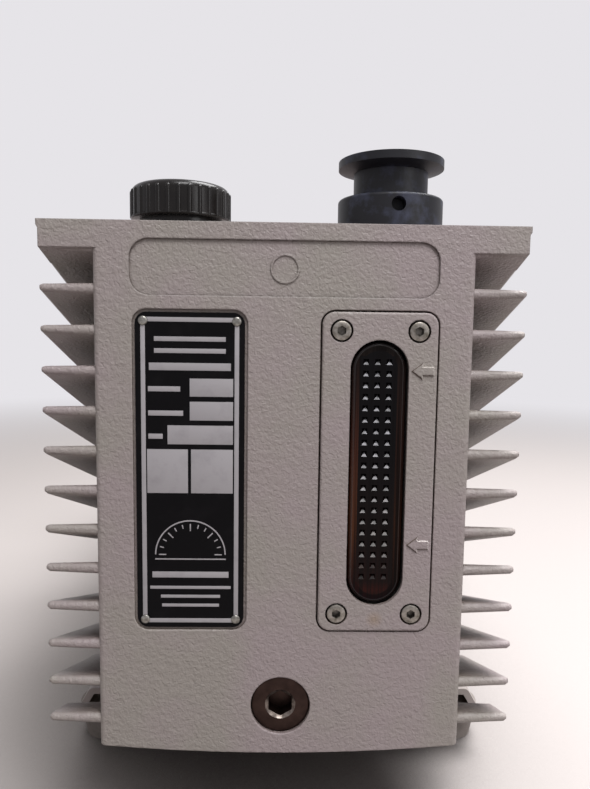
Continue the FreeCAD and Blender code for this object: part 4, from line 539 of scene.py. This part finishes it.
# %% Half-round scale on the plate
SCALE_Z = -29.5
SCALE_RADIUS = 12.6
SCALE_LINE = 0.45
TICKS = 13
TICK_FROM_ARC = 1.4
for i in range(TICKS):
    angle = math.pi * i / (TICKS - 1)
    long = 2.6 if i % 3 == 0 else 1.4
    reach = SCALE_RADIUS - TICK_FROM_ARC - long / 2
    x = reach * math.cos(angle)
    z = SCALE_Z + reach * math.sin(angle)
    printed.append(film(x - long / 2, z - 0.2, x + long / 2, z + 0.2, turn=-angle))
printed.append(film(-SCALE_RADIUS, SCALE_Z - 1.9, SCALE_RADIUS, SCALE_Z - 1.9 + SCALE_LINE))
deselect()
bpy.ops.mesh.primitive_circle_add(vertices=72, radius=SCALE_RADIUS * MM, fill_type="NGON",
                                  location=(plate_middle.x, film_foot, plate_middle.z + SCALE_Z * MM),
                                  rotation=(math.pi / 2, 0, 0))
arc = open_piece("film")
bpy.ops.mesh.select_all(action="SELECT")
bpy.ops.mesh.inset(thickness=SCALE_LINE * MM, depth=0)
bpy.ops.mesh.delete(type="FACE")
bpy.ops.mesh.select_all(action="SELECT")
bpy.ops.mesh.bisect(plane_co=(0, 0, plate_middle.z + SCALE_Z * MM), plane_no=(0, 0, 1),
                    clear_inner=True)
bpy.ops.mesh.select_all(action="SELECT")
push(y=-FILM)
bpy.ops.object.mode_set(mode="OBJECT")
plate_print = join(printed + [arc])
plate_print.name = "plate_print"
close_piece(plate_print, plate_bare, "pump", "plate")
print("plate print:", len(plate_print.data.polygons), "faces")

# %% [markdown]
# The plate is held by four rivets with low domed heads. One is turned as on a lathe: a disc of
# thirty-two points is pushed out and narrowed step by step, until a small flat is left on top. Its pin
# goes back into the casting. The other three are copies, moved to their corners.

# %% Stepped discs and their copies
def disc(name, radius, place, points=32, turn=0.0):
    """Opens a flat disc that faces the front, to be pushed and narrowed in steps."""
    deselect()
    bpy.ops.mesh.primitive_circle_add(vertices=points, radius=radius, fill_type="NGON", location=place,
                                      rotation=(math.pi / 2, turn, 0))
    return open_piece(name)


def ease(forward, narrower):
    """Draws the open face's rim in and forward at once, which makes a slope."""
    bpy.ops.mesh.inset(thickness=narrower, depth=0)
    bpy.ops.transform.translate(value=(0, -forward, 0))


def copies(first, places):
    """Copies a finished shape to other places and joins all into one piece."""
    group = [first]
    for x, z in places:
        deselect()
        first.select_set(True)
        bpy.context.view_layer.objects.active = first
        bpy.ops.object.duplicate()
        copy = bpy.context.object
        copy.location = (x, 0, z)
        bpy.ops.object.transform_apply(location=True, rotation=False, scale=False)
        group.append(copy)
    return join(group)


def corners(low, high, radius):
    """The places of the other three of four heads, seen from the lower left one."""
    across = high.x - low.x - 2 * radius
    upright = high.z - low.z - 2 * radius
    return (across, 0), (0, upright), (across, upright)


print("disc helpers ready")

# %% Rivets
rivet_low, rivet_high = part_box("nameplate_rivets")
RIVET_RADIUS = 1.65 * MM
RIVET_PIN = 1.0 * MM
RIVET_DOME = ((0.28, 0.14), (0.2, 0.22), (0.13, 0.3), (0.07, 0.4))
head_foot = plate_low.y
rivet_proud = head_foot - rivet_low.y
rivet = disc("rivet_heads", RIVET_RADIUS, (rivet_low.x + RIVET_RADIUS, head_foot,
                                           rivet_low.z + RIVET_RADIUS))
pick(rivet, lambda face: True)
push(y=-rivet_proud * 0.3)
for forward_share, narrower_mm in RIVET_DOME:
    ease(rivet_proud * forward_share, narrower_mm * MM)
bpy.ops.object.mode_set(mode="OBJECT")
pin = disc("rivet_pin", RIVET_PIN, (rivet_low.x + RIVET_RADIUS, rivet_high.y,
                                    rivet_low.z + RIVET_RADIUS), 16)
pick(pin, lambda face: True)
push(y=head_foot - rivet_high.y)
bpy.ops.object.mode_set(mode="OBJECT")
copies(join([rivet, pin]), corners(rivet_low, rivet_high, RIVET_RADIUS))
close_piece(rivet, rivet_metal, "pump", "bright_steel", "nameplate_rivets", smooth_degrees=60)
print("rivets:", len(rivet.data.polygons), "faces")

# %% [markdown]
# The window's frame is held by four socket screws. A screw starts from its hexagon socket: a ring of six
# points and a ring of thirty-six, bridged, make the flat of the head with the hole in it. The outer ring
# is then carried out and back for the chamfer and the side, and the six points are carried in for the
# socket, which is closed at its floor.

# %% Rings of points
def ring(centre, radius, points):
    """Adds an open ring that faces the front."""
    bpy.ops.mesh.primitive_circle_add(vertices=points, radius=radius, fill_type="NOTHING",
                                      location=centre, rotation=(math.pi / 2, 0, 0))


def on_ring(piece, centre, radius, deep):
    """A test for edges that lie on a ring round an axis, at a depth behind its centre."""
    def wanted(edge):
        ends = [piece.data.vertices[i].co - centre for i in edge.vertices]
        return all(abs(math.hypot(end.x, end.z) - radius) < 0.02 * MM
                   and abs(end.y - deep) < 0.02 * MM for end in ends)
    return wanted


def carry(centre, back, share):
    """Carries a selected ring of edges back and scales it about its axis."""
    bpy.ops.mesh.extrude_edges_move()
    bpy.ops.transform.resize(value=(share, 1, share), center_override=centre)
    bpy.ops.transform.translate(value=(0, back, 0))


def bridge():
    """Spans the two open rings of a piece with faces."""
    bpy.ops.mesh.select_all(action="SELECT")
    bpy.ops.mesh.bridge_edge_loops()


print("ring helpers ready")

# %% Socket screws
screw_low, screw_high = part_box("frame_screws")
HEAD_RADIUS = 3.5 * MM
SHANK_RADIUS = 2.0 * MM
CHAMFER = 0.75 * MM
SOCKET_CORNER = 1.75 * MM
SOCKET_DEEP = 2.0 * MM
HEAD_TALL = 4.0 * MM
axis = Vector((screw_low.x + HEAD_RADIUS, screw_low.y, screw_low.z + HEAD_RADIUS))
deselect()
ring(axis, SOCKET_CORNER, 6)
screw = open_piece("frame_screw_heads")
ring(axis, HEAD_RADIUS - CHAMFER, 36)
bridge()
pick(screw, on_ring(screw, axis, HEAD_RADIUS - CHAMFER, 0), "EDGE")
carry(axis, CHAMFER * 0.35, (HEAD_RADIUS - CHAMFER * 0.3) / (HEAD_RADIUS - CHAMFER))
carry(axis, CHAMFER * 0.5, HEAD_RADIUS / (HEAD_RADIUS - CHAMFER * 0.3))
carry(axis, HEAD_TALL - CHAMFER * 0.85, 1.0)
carry(axis, 0.0, SHANK_RADIUS / HEAD_RADIUS)
carry(axis, screw_high.y - axis.y - HEAD_TALL, 1.0)
bpy.ops.mesh.edge_face_add()
pick(screw, on_ring(screw, axis, SOCKET_CORNER, 0), "EDGE")
carry(axis, 0.2 * MM, 0.9)
carry(axis, SOCKET_DEEP, 1.0)
bpy.ops.mesh.edge_face_add()
bpy.ops.object.mode_set(mode="OBJECT")
copies(screw, corners(screw_low, screw_high, HEAD_RADIUS))
bpy.ops.object.mode_set(mode="EDIT")
close_piece(screw, worn_zinc, "pump", "bright_steel", "frame_screws", smooth_degrees=30)
print("screws:", len(screw.data.polygons), "faces")

# %% [markdown]
# The drain plug is built in the same way from its front. A flat ring with rounded edges makes the collar,
# and a funnel leads into the hexagon socket. The key has worn the funnel bright.

# %% Drain plug
plug_low, plug_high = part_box("drain_plug")
COLLAR = (plug_high.x - plug_low.x) / 2 + 0.3 * MM
COLLAR_THICK = 3.8 * MM
COLLAR_EDGE = 0.6 * MM
PROUD = 0.8 * MM
THREAD_RADIUS = 8.2 * MM
FUNNEL = 5.6 * MM
FUNNEL_DEEP = 0.8 * MM
KEY_CORNER = 5.0 * MM
KEY_DEEP = 4.6 * MM
axis = Vector(((plug_low.x + plug_high.x) / 2, plug_low.y - PROUD, (plug_low.z + plug_high.z) / 2))
deselect()
ring(axis, FUNNEL, 48)
plug = open_piece("hexagon_drain_plug")
ring(axis, COLLAR - COLLAR_EDGE, 48)
bridge()
pick(plug, on_ring(plug, axis, COLLAR - COLLAR_EDGE, 0), "EDGE")
carry(axis, COLLAR_EDGE / 4, (COLLAR - COLLAR_EDGE / 3) / (COLLAR - COLLAR_EDGE))
carry(axis, COLLAR_EDGE / 2, COLLAR / (COLLAR - COLLAR_EDGE / 3))
carry(axis, COLLAR_THICK - COLLAR_EDGE * 0.75, 1.0)
carry(axis, 0.0, THREAD_RADIUS / COLLAR)
carry(axis, plug_high.y - axis.y - COLLAR_THICK, 1.0)
bpy.ops.mesh.edge_face_add()
bpy.ops.mesh.select_all(action="DESELECT")
ring(axis + Vector((0, FUNNEL_DEEP, 0)), KEY_CORNER, 6)
hexagon = on_ring(plug, axis, KEY_CORNER, FUNNEL_DEEP)
mouth = on_ring(plug, axis, FUNNEL, 0)
pick(plug, lambda edge: hexagon(edge) or mouth(edge), "EDGE")
bpy.ops.mesh.bridge_edge_loops()
pick(plug, hexagon, "EDGE")
carry(axis, KEY_DEEP, 1.0)
bpy.ops.mesh.edge_face_add()
bpy.ops.object.mode_set(mode="OBJECT")
plug.data.materials.append(burnished_steel)
plug.data.materials.append(key_worn_steel)
for face in plug.data.polygons:
    face.material_index = int(axis.y + 0.1 * MM < face.center.y < axis.y + FUNNEL_DEEP
                              and math.hypot(face.center.x - axis.x, face.center.z - axis.z) < FUNNEL)
close_piece(plug, None, "drain_plug", "bronze_plug", "drain_plug", smooth_degrees=30)
print("plug:", len(plug.data.polygons), "faces")

# %% [markdown]
# The filler cap is turned first: a circle of a hundred and twenty points is carried up and in, step by
# step, over the collar, the skirt with its small lip and the round shoulder to the crown. Its thirty
# grip ribs are upright beads with rounded ends. One is pushed up beside the skirt and half sunk in it,
# and a spin about the cap's axis makes the other twenty-nine.

# %% Filler cap
# The profile is a list of radius and depth below the crown, both in millimetres.
cap_low, cap_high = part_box("filler_cap")
cap_x = (cap_low.x + cap_high.x) / 2
cap_y = (cap_low.y + cap_high.y) / 2
RIBS = 30
RIB_RADIUS = 1.0 * MM
RIB_PROUD = 0.5 * MM
RIB_FOOT = 12.1 * MM
RIB_TALL = 9.4 * MM
SHOULDER = 2.9
STUB_RADIUS = 13.0
cap_radius = ((cap_high.x - cap_low.x) / 2 - RIB_PROUD) / MM


def carry_up(radius, below_top, previous):
    """Carries the cap's open top face up, and scales it about the axis to a new radius."""
    bpy.ops.mesh.extrude_region_move()
    bpy.ops.transform.resize(value=(radius / previous[0], radius / previous[0], 1),
                             center_override=(cap_x, cap_y, 0))
    bpy.ops.transform.translate(value=(0, 0, (previous[1] - below_top) * MM))
    return radius, below_top


deselect()
bpy.ops.mesh.primitive_circle_add(vertices=120, radius=STUB_RADIUS * MM, fill_type="NGON",
                                  location=(cap_x, cap_y, cap_low.z))
cap = open_piece("ribbed_cap")
pick(cap, lambda face: True)
at = (STUB_RADIUS, (cap_high.z - cap_low.z) / MM)
turned = [(STUB_RADIUS, 15.4), (15.5, 15.4), (15.5, 12.5), (cap_radius - 0.1, 12.5),
          (cap_radius + 0.3, 12.1), (cap_radius + 0.3, 11.7), (cap_radius, 11.4), (cap_radius, SHOULDER)]
for step in range(1, 7):
    angle = math.radians(15 * step)
    turned.append((cap_radius - SHOULDER * (1 - math.cos(angle)), SHOULDER * (1 - math.sin(angle))))
turned += [(11.7, 0.0), (11.5, 0.6), (10.4, 0.6), (10.2, 0.0)]
for radius, below_top in turned:
    at = carry_up(radius, below_top, at)
print("cap turned in", len(turned), "steps")

# %% Ribs of the cap
bpy.ops.mesh.select_all(action="DESELECT")
bpy.ops.mesh.primitive_circle_add(vertices=16, radius=RIB_RADIUS, fill_type="NGON",
                                  location=(cap_high.x - RIB_RADIUS, cap_y, cap_high.z - RIB_FOOT))
push(z=RIB_TALL)
for rise_mm, narrower_mm in ((0.45, 0.12), (0.35, 0.25), (0.15, 0.35)):
    bpy.ops.mesh.inset(thickness=narrower_mm * MM, depth=0)
    bpy.ops.transform.translate(value=(0, 0, rise_mm * MM))
bpy.ops.mesh.select_linked()
bpy.ops.mesh.spin(steps=RIBS - 1, dupli=True, angle=math.tau * (RIBS - 1) / RIBS,
                  center=(cap_x, cap_y, 0), axis=(0, 0, 1))
close_piece(cap, glossy_black, "filler_cap", "black_moulding", "filler_cap", smooth_degrees=40)
print("cap:", len(cap.data.polygons), "faces")

# %% [markdown]
# Two arrows on the window's frame mark the oil levels. In the casting their sides slope, so that they
# catch the light above and throw a shade below. The slope is a skirt between two rings of seven points.
# One lies a hair behind the arrow's front and has its outline. The other lies at the foot, drawn
# outwards and a little down. The sides that face up and right are painted pale, a painted highlight,
# and those that face down and left are painted dark, a painted shade.

# %% Outline of the level arrows
ARROW_LONG = 7.2 * MM
ARROW_HALF = 2.45 * MM
HEAD_SHARE = 0.45
STEM_SHARE = 0.55
ARROW_HIGH = 0.6 * MM
ARROW_RISES = (37.2 * MM, -25.0 * MM)
SKIRT = 0.38 * MM
SKIRT_DROP = 0.15 * MM
POINTS = 7
frame_mid = (frame_low.z + frame_high.z) / 2
tail_x = frame_high.x - 1.5 * MM
tip_x = tail_x - ARROW_LONG
neck_x = tip_x + ARROW_LONG * HEAD_SHARE
stem = ARROW_HALF * STEM_SHARE
# Each corner: its place, and how many skirt widths it moves towards the tip and outwards.
upper = [(tip_x, 0, 1.7, 0), (neck_x, ARROW_HALF, -1, 2), (neck_x, stem, -1, 1), (tail_x, stem, -1, 1)]
lower = [(x, -z, to_tip, -out) for x, z, to_tip, out in reversed(upper[1:])]
print("an arrow has", len(upper + lower), "corners")

# %% Sloped sides of the level arrows
def draw_arrow(piece, first, middle, y, wider):
    """Moves the points of a ring onto the arrow's outline, drawn outwards by a width."""
    for number, (x, z, to_tip, out) in enumerate(upper + lower, first):
        pick(piece, lambda point: point.index == number, "VERT")
        start = piece.data.vertices[number].co
        bpy.ops.transform.translate(value=(x - to_tip * wider - start.x, y - start.y,
                                           middle + z + out * wider - start.z))


arrows = []
for rise in ARROW_RISES:
    middle = frame_mid + rise
    deselect()
    ring((neck_x, frame_low.y, middle), 2 * MM, POINTS)
    arrow = open_piece("level_arrows")
    ring((neck_x, frame_low.y, middle), 1 * MM, POINTS)
    draw_arrow(arrow, 0, middle - SKIRT_DROP, frame_low.y + ARROW_HIGH + 0.1 * MM, SKIRT)
    draw_arrow(arrow, POINTS, middle, frame_low.y + 0.01 * MM, 0)
    bridge()
    for first in (0, POINTS):
        pick(arrow, lambda point: first <= point.index < first + POINTS, "VERT")
        bpy.ops.mesh.edge_face_add()
    bpy.ops.object.mode_set(mode="OBJECT")
    arrows.append(arrow)
marks = join(arrows)
bpy.ops.object.mode_set(mode="EDIT")
bpy.ops.mesh.select_all(action="SELECT")
bpy.ops.mesh.normals_make_consistent(inside=False)
bpy.ops.object.mode_set(mode="OBJECT")
# Faces turned up or right get the painted highlight, faces turned down or left the painted shade.
for paint in (painted_shade_enamel, casting_enamel, painted_highlight_enamel):
    marks.data.materials.append(paint)
for face in marks.data.polygons:
    lowest, highest = sorted((face.normal.x, face.normal.z))
    face.material_index = 2 if highest > 0.78 else int(lowest > -0.2)
close_piece(marks, None, "pump", "casing_paint", smooth_degrees=20)
print("arrows:", len(marks.data.polygons), "faces")

# %% [markdown]
# The lens of the oil window is one moulding. Its edge is rounded, then come a fine bead and a plain
# border, and inside lies a field with small pits that show the oil level. The body starts as a filled
# circle of sixty-four points. Its upper half is moved up and its lower half down, which makes the long
# oval. The front is pushed out, and drawn in step by step for the edge, the bead and the border.

# %% Lens body
LIP = 2.6 * MM
LENS_CLEAR = 0.3 * MM
EDGE_TALL = 1.5 * MM
BORDER_ENDS = 3.4 * MM
EDGE_STEPS = ((0.35, 0.15), (0.5, 0.25), (0.4, 0.3), (0.25, 0.35), (0.0, 0.15))
BEAD_STEPS = ((0.14, 0.14), (0.0, 0.1), (-0.14, 0.14))
BORDER_STEP = (0.0, 1.82)
lens_x = (lens_low.x + lens_high.x) / 2
lens_z = (lens_low.z + lens_high.z) / 2
lens_front = lens_low.y
lens_radius = (lens_high.x - lens_low.x) / 2 - LIP - LENS_CLEAR
lens_straight = (lens_high.z - lens_low.z) / 2 - LIP - LENS_CLEAR - lens_radius
lens = disc("lens_body", lens_radius, (lens_x, lens_high.y, lens_z), 64, math.pi / 64)
for way in (1, -1):
    pick(lens, lambda point: (point.co.z - lens_z) * way > 0, "VERT")
    bpy.ops.transform.translate(value=(0, 0, way * lens_straight))
pick(lens, lambda face: True)
push(y=lens_front + EDGE_TALL - lens_high.y)
for forward_mm, narrower_mm in (*EDGE_STEPS, *BEAD_STEPS, BORDER_STEP):
    ease(forward_mm * MM, narrower_mm * MM)
bpy.ops.object.mode_set(mode="OBJECT")
for finish in (lens_amber, lens_border, lens_edge):
    lens.data.materials.append(finish)
for face in lens.data.polygons:
    inward = lens_radius - math.hypot(face.center.x - lens_x,
                                      max(abs(face.center.z - lens_z) - lens_straight, 0))
    if 0.1 * MM < inward < BORDER_ENDS and face.center.y < lens_front + EDGE_TALL:
        face.material_index = 1 if face.normal.y < -0.9 else 2
print("lens: edge and border have", sum(face.material_index > 0 for face in lens.data.polygons), "faces")

# %% [markdown]
# The pits are a grid of three by twenty cells. Each cell is inset on its own, and poked so that its
# middle becomes the tip of a pit. The tips are shifted up and to the right, as they look in the real
# moulding. The lower side of each pit faces up and is painted pale, a painted highlight, which is dull
# in the lowest rows, where oil stands. The rim of the grid is carried back and closed, so that it is a
# solid strip, and a boolean cuts the bed for it into the lens.

# %% Lens pits
PITCH = 4.08 * MM
COLUMNS = 3
ROWS = 20
PIT_MARGIN = 1.05 * MM
PIT_DEEP = 1.1 * MM
TIP_SHIFT = (0.3 * MM, 0, 0.5 * MM)
STRIP_DEEP = 1.4 * MM
OIL_TALL = 19 * MM
skin = lens_front + 0.1 * MM
pits_x = lens_x - 0.6 * MM
pits_z = lens_z + 1.4 * MM
deselect()
bpy.ops.mesh.primitive_grid_add(x_subdivisions=COLUMNS, y_subdivisions=ROWS, size=1,
                                location=(pits_x, lens_front, pits_z), rotation=(math.pi / 2, 0, 0))
bpy.context.object.scale = (PITCH * COLUMNS, PITCH * ROWS, 1)
pits = open_piece("lens_pits")
bpy.ops.mesh.select_all(action="SELECT")
bpy.ops.mesh.region_to_loop()
bpy.ops.mesh.extrude_edges_move()
bpy.ops.transform.translate(value=(0, STRIP_DEEP, 0))
bpy.ops.mesh.edge_face_add()
pick(pits, lambda face: face.center.y < skin)
bpy.ops.mesh.inset(thickness=PIT_MARGIN, depth=0, use_individual=True)
bpy.ops.mesh.poke(offset=-PIT_DEEP)
pick(pits, lambda point: skin < point.co.y < lens_front + PIT_DEEP + 0.1 * MM, "VERT")
bpy.ops.transform.translate(value=TIP_SHIFT)
bpy.ops.object.mode_set(mode="OBJECT")
for finish in (lens_amber, facet_painted_highlight, facet_painted_highlight_low):
    pits.data.materials.append(finish)
# Facets that face up are given the pale finish: a painted highlight.
for face in pits.data.polygons:
    behind = skin < face.center.y < lens_front + PIT_DEEP
    pale = behind and face.normal.z > 0.3 and face.normal.y < -0.2
    face.material_index = pale * (2 if face.center.z < lens_low.z + OIL_TALL else 1)
print("pits:", len(pits.data.polygons), "faces,", COLUMNS * ROWS, "pits")

# %% Bed for the pits in the lens
deselect()
bpy.ops.mesh.primitive_cube_add(size=1, location=(pits_x, lens_front + STRIP_DEEP / 2 - 1 * MM, pits_z))
cutter = bpy.context.object
cutter.scale = (PITCH * COLUMNS + 0.02 * MM, STRIP_DEEP + 2 * MM, PITCH * ROWS + 0.02 * MM)
bpy.ops.object.transform_apply(location=True, rotation=True, scale=True)
deselect()
lens.select_set(True)
bpy.context.view_layer.objects.active = lens
cut = lens.modifiers.new("bed", "BOOLEAN")
cut.operation = "DIFFERENCE"
cut.solver = "EXACT"
cut.object = cutter
close_piece(lens, None, "pump", "amber_glass", "sight_glass", smooth_degrees=50)
bpy.data.objects.remove(cutter)
pits.select_set(True)
bpy.context.view_layer.objects.active = pits
close_piece(pits, None, "pump", "amber_glass", smooth_degrees=10)
print("lens:", len(lens.data.polygons), "faces")

# %% [markdown]
# The floor is a plain pale sheet. Near the pump it is lit as any surface, so it holds the pump's shadow,
# and an ambient occlusion node adds a painted shadow where the pump stands close above it. Further out
# its colour runs into that of the backdrop, so that no dark band shows where the two meet. What it
# throws back up under the fins is dimmer than what the camera sees of it.

# %% Floor
BACKDROP = "E6E4E8"
FLOOR = "B9B2B0"


def seen(tree):
    """One for rays that come from the camera or off a glossy surface, nought for all others."""
    ray = add(tree, "ShaderNodeLightPath")
    return add(tree, "ShaderNodeMath", {0: ray.outputs["Is Camera Ray"],
                                        1: ray.outputs["Is Glossy Ray"]},
               operation="MAXIMUM").outputs["Value"]


deselect()
bpy.ops.mesh.primitive_plane_add(size=12, location=(0, 0, 0))
floor = bpy.context.object
floor.name = "floor"
floor_paint, tree, shader, place = new_finish("pale_floor", FLOOR, 0.75)
speckle = noise(tree, place, 300.0, 2.0)
link(tree, spread(tree, speckle, to_low=0.65, to_high=0.85), shader, "Roughness")
far = add(tree, "ShaderNodeVectorMath", {0: place}, operation="LENGTH")
fade = spread(tree, far.outputs["Value"], 0.45, 1.6, interpolation_type="SMOOTHSTEP")
share = add(tree, "ShaderNodeMath", {0: fade, 1: seen(tree)}, operation="MULTIPLY")
pale = add(tree, "ShaderNodeEmission", {"Color": linear(BACKDROP), "Strength": 1.0})
mixed = add(tree, "ShaderNodeMixShader", {0: share.outputs["Value"], 1: shader.outputs["BSDF"],
                                          2: pale.outputs["Emission"]})
link(tree, mixed.outputs["Shader"], tree.nodes["Material Output"], "Surface")
# Painted shadow: the floor is darkened where the pump stands close above it.
under = add(tree, "ShaderNodeAmbientOcclusion", {"Distance": 160 * MM}, samples=8)
floor_with_painted_shadow = blend(tree, spread(tree, under.outputs["AO"], 0.15, 0.8), "3A3533", FLOOR)
link(tree, blend(tree, seen(tree), "736C69", floor_with_painted_shadow), shader, "Base Color")
floor.data.materials.append(floor_paint)
print("floor ready")

# %% [markdown]
# The world lights the pump softly from all sides. Three large soft lamps add direction: one overhead,
# one in front, high and to the right, because in the photo the lower left edges of the recesses are
# bright and the upper right ones dark, and one low at the right, which draws the light lines on the cap,
# the port and the screws.

# %% World and lamps
world = bpy.data.worlds.new("studio")
bpy.context.scene.world = world
world.use_nodes = True
tree = world.node_tree
soft = tree.nodes["Background"]
soft.inputs["Color"].default_value = linear("FFFDFB")
soft.inputs["Strength"].default_value = 0.3
shown = add(tree, "ShaderNodeBackground", {"Color": linear(BACKDROP), "Strength": 1.0})
choice = add(tree, "ShaderNodeMixShader", {0: seen(tree), 1: soft.outputs["Background"],
                                           2: shown.outputs["Background"]})
link(tree, choice.outputs["Shader"], tree.nodes["World Output"], "Surface")


def lamp(name, place, size, power):
    """A square soft lamp, turned towards the middle of the casing."""
    data = bpy.data.lights.new(name, "AREA")
    data.shape = "SQUARE"
    data.size = size
    data.energy = power
    light = bpy.data.objects.new(name, data)
    bpy.context.collection.objects.link(light)
    light.location = place
    aim = Vector((0, face_y * 0.6, casing_top * 0.6)) - Vector(place)
    light.rotation_euler = aim.to_track_quat("-Z", "Y").to_euler()
    return light


lamp("overhead_lamp", (0.5, 0.02, 1.35), 0.7, 26.5)
lamp("front_lamp", (0.22, -0.95, 1.4), 0.6, 17.8)
lamp("side_lamp", (0.95, -1.05, 0.62), 0.5, 3.0)
bpy.context.scene.view_settings.view_transform = "Standard"
print("stage ready")

# %% Finish
print("scene built")
